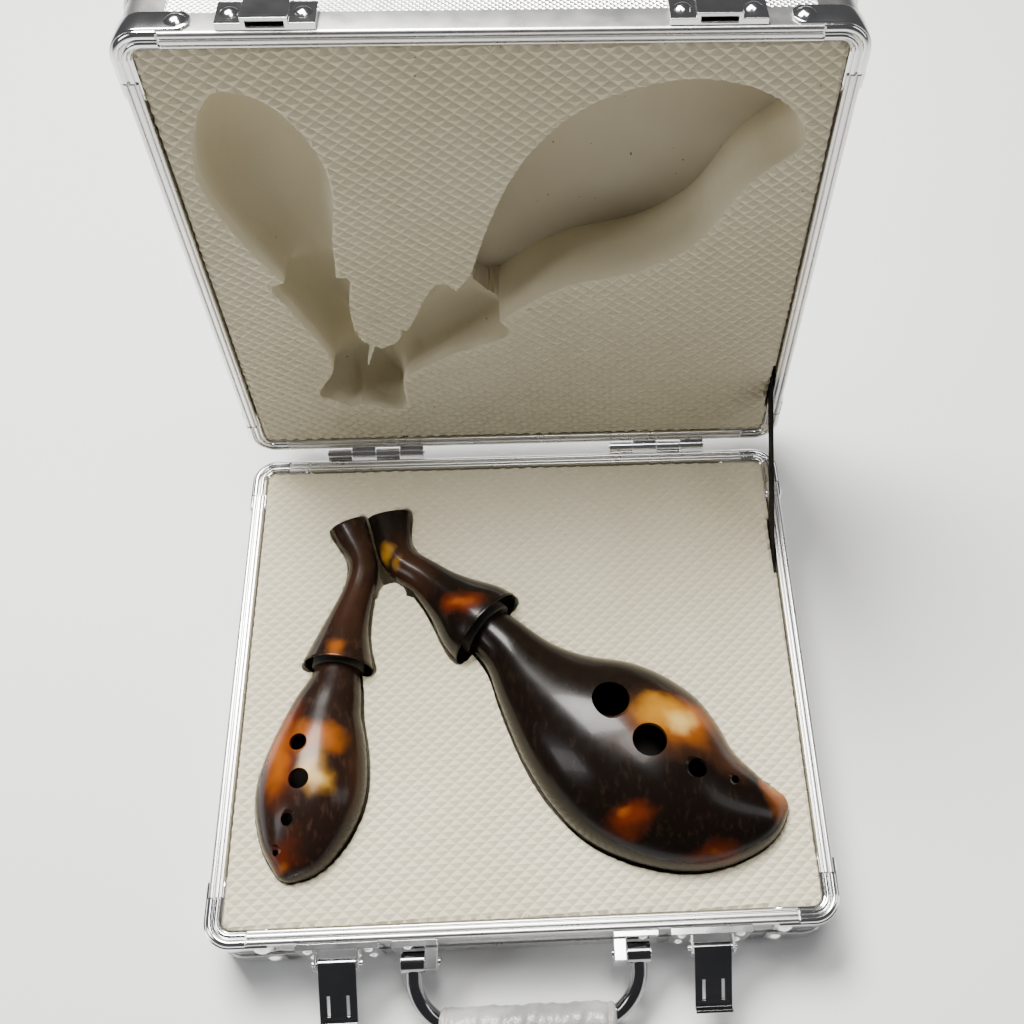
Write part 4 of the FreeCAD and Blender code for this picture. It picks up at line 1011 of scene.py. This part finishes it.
def grip(material):
    """The sleeve on the handle: wavy, with rolled ends."""
    low, high = [np.array(v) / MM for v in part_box("handle_grip")]
    length = high[0] - low[0]
    middle = (low + high) / 2
    radius = (high[1] - low[1]) / 2
    around, steps = 72, 150
    rings = []
    for i in range(steps + 1):
        share = i / steps
        x = low[0] + length * share
        edge = min(share, 1 - share) * length
        roll = math.sqrt(max(0.0, 1 - (1 - min(edge / 2.6, 1)) ** 2))
        ring = []
        for k in range(around):
            angle = 2 * math.pi * k / around
            wave = (0.22 * math.sin(0.31 * x + 2 * angle) + 0.16 * math.sin(0.72 * x - angle)
                    + 0.12 * math.sin(1.3 * x + 3 * angle + 1))
            collar = 0.35 if 2.6 < edge < 4.4 else 0.0
            size = (radius - 0.55 + wave - collar) * (0.72 + 0.28 * roll)
            ring.append((x, middle[1] + size * math.cos(angle),
                         middle[2] + size * math.sin(angle)))
        rings.append(ring)
    points = [p for ring in rings for p in ring]
    faces = [(i * around + k, (i + 1) * around + k, (i + 1) * around + (k + 1) % around,
              i * around + (k + 1) % around) for i in range(steps) for k in range(around)]
    faces.append(tuple(range(around)))
    faces.append(tuple(range(steps * around, (steps + 1) * around))[::-1])
    build("handle_grip_sleeve", points, faces, "handle", [material], smooth=50.0,
          stands_for=["handle_grip"])


# ---- the object
satin = metal("satin_aluminium", (0.77, 0.765, 0.755), (0.71, 0.705, 0.69), 0.26)
chrome = metal("bright_chrome", (0.86, 0.86, 0.86), (0.78, 0.775, 0.77), 0.10, 1.5)
nickel = metal("dark_nickel", (0.30, 0.30, 0.31), (0.22, 0.22, 0.22), 0.12, 1.4)
panel_metal = metal("pressed_aluminium", (0.88, 0.88, 0.875), (0.83, 0.825, 0.82), 0.3)
foam = foam_material()
liner = liner_material()
webbing = webbing_material()
thread = plain_material("waxed_thread", (0.012, 0.009, 0.007), (0.035, 0.026, 0.02), 300.0,
                        0.5, 0.75, 0.00004)
raw_horn = plain_material("raw_horn_inside", (0.012, 0.008, 0.006), (0.03, 0.02, 0.014), 60.0,
                          0.6, 0.8, 0.00005)
big_horn = horn_material("horn_of_large_flute", BIG_PATCHES)
small_horn = horn_material("horn_of_small_flute", SMALL_PATCHES, (0.012, 0.006, 0.004))

for half in ("base", "lid"):
    rims(half, satin, chrome)
    refined(f"{half}_corner_posts", satin, 0.2)
    refined(f"{half}_edge_extrusions", satin, 0.25)
    refined(f"{half}_corner_caps", chrome, 0.3)
for side in ("left", "right"):
    refined(f"latch_{side}_plate", chrome, 0.3, 3)
    refined(f"latch_{side}_lever", nickel, 0.2)
    refined(f"latch_{side}_pin", chrome, 0.15)
    refined(f"keeper_{side}", chrome, 0.35, 3)
    refined(f"handle_bracket_{side}", chrome, 0.6, 3)
    for leaf in ("base_leaf", "lid_leaf", "pin"):
        refined(f"hinge_{side}_{leaf}", chrome, 0.15)
for node, material in (("handle_bail", nickel), ("handle_pins", chrome),
                       ("base_rivets", chrome), ("lid_rivets", chrome),
                       ("strap_rivet_base", nickel), ("strap_rivet_lid", nickel),
                       ("lid_liner", liner)):
    slots = NODES[node].data.materials
    slots.clear()
    slots.append(material)

OUTWARD = {"front": (0, -1, 0), "back": (0, 1, 0), "left": (-1, 0, 0), "right": (1, 0, 0)}
for half in ("base", "lid"):
    for side, direction in OUTWARD.items():
        embossed_panel(f"{half}_{side}_wall", direction, half == "lid", panel_metal)
embossed_panel("base_floor", (0, 0, -1), False, panel_metal)
embossed_panel("lid_top", (0, 0, 1), True, panel_metal)

foams(foam, liner)
FLUTES = (("big", BIG_BODY, BIG_MOUTH, BIG_HOLES, 14, big_horn),
          ("small", SMALL_BODY, SMALL_MOUTH, SMALL_HOLES, 11.8, small_horn))
for size, body, _, holes, _, horn in FLUTES:
    flute_body(f"{size}_flute_vessel", body, holes, [horn, raw_horn], f"{size}_horn")
for size, body, mouth, _, ring, horn in FLUTES:
    mouthpiece(f"{size}_flute_beak", f"{size}_flute_mouthpiece", mouth, body, ring, horn)
for size, body, mouth, _, ring, _ in FLUTES:
    lapping(f"{size}_flute_lapping", f"{size}_flute_ring", body, mouth, ring, thread)
strap(webbing)
grip(grip_material())


# ---- stage, light, camera
def stage_floor():
    """A plain pale floor under the case."""
    mesh = bpy.data.meshes.new("studio_floor")
    wide = 3.0               # metres from the middle to each edge
    mesh.from_pydata([(-wide, -wide, 0), (wide, -wide, 0), (wide, wide, 0), (-wide, wide, 0)],
                     [], [(0, 1, 2, 3)])
    mesh.materials.append(plain_material("pale_floor", (0.86, 0.86, 0.86), (0.9, 0.9, 0.9),
                                         2.0, 0.8, 0.9, 0.0))
    floor = bpy.data.objects.new("studio_floor", mesh)
    bpy.context.scene.collection.objects.link(floor)


def soft_box(name, place, target, size, power, tint):
    """A rectangular light at place (metres) that faces target; power is in watts."""
    light = bpy.data.lights.new(name, "AREA")
    light.shape, light.size, light.size_y = "RECTANGLE", size[0], size[1]
    light.energy, light.color = power, tint
    item = bpy.data.objects.new(name, light)
    item.location = place
    aim = Vector(target) - Vector(place)
    item.rotation_euler = aim.to_track_quat("-Z", "Y").to_euler()
    bpy.context.scene.collection.objects.link(item)


stage_floor()
WARM, COOL = (1, 0.985, 0.96), (0.97, 0.985, 1)
for box in (("ceiling_light", (-0.3, 0.6, 1.2), (0, 0, 0.05), (0.6, 0.5), 50, (1, 0.985, 0.95)),
            ("top_light", (0.1, 0.3, 1.5), (0, 0.2, 0.05), (0.4, 0.4), 10, WARM),
            ("side_light", (1.1, -0.1, 0.7), (0, 0, 0.06), (0.25, 0.9), 2, (1, 1, 1)),
            ("window_light", (-1.1, -0.3, 0.9), (0, 0, 0.06), (0.25, 0.6), 4, COOL)):
    soft_box(*box)

world = bpy.data.worlds.new("studio_world")
world.use_nodes = True
world.node_tree.nodes["Background"].inputs["Color"].default_value = (0.95, 0.96, 1.0, 1)
world.node_tree.nodes["Background"].inputs["Strength"].default_value = 0.09
bpy.context.scene.world = world

camera = bpy.data.cameras.new("camera")
camera.sensor_width, camera.lens = 36.0, 39.71
camera.shift_x, camera.shift_y = -0.0711, -0.0067
camera.clip_start = 0.01
eye = bpy.data.objects.new("camera", camera)
eye.location = (0.0108, -0.18538, 0.52813)
eye.rotation_euler = [math.radians(a) for a in (28.91, -1.219, -2.522)]
bpy.context.scene.collection.objects.link(eye)
bpy.context.scene.camera = eye
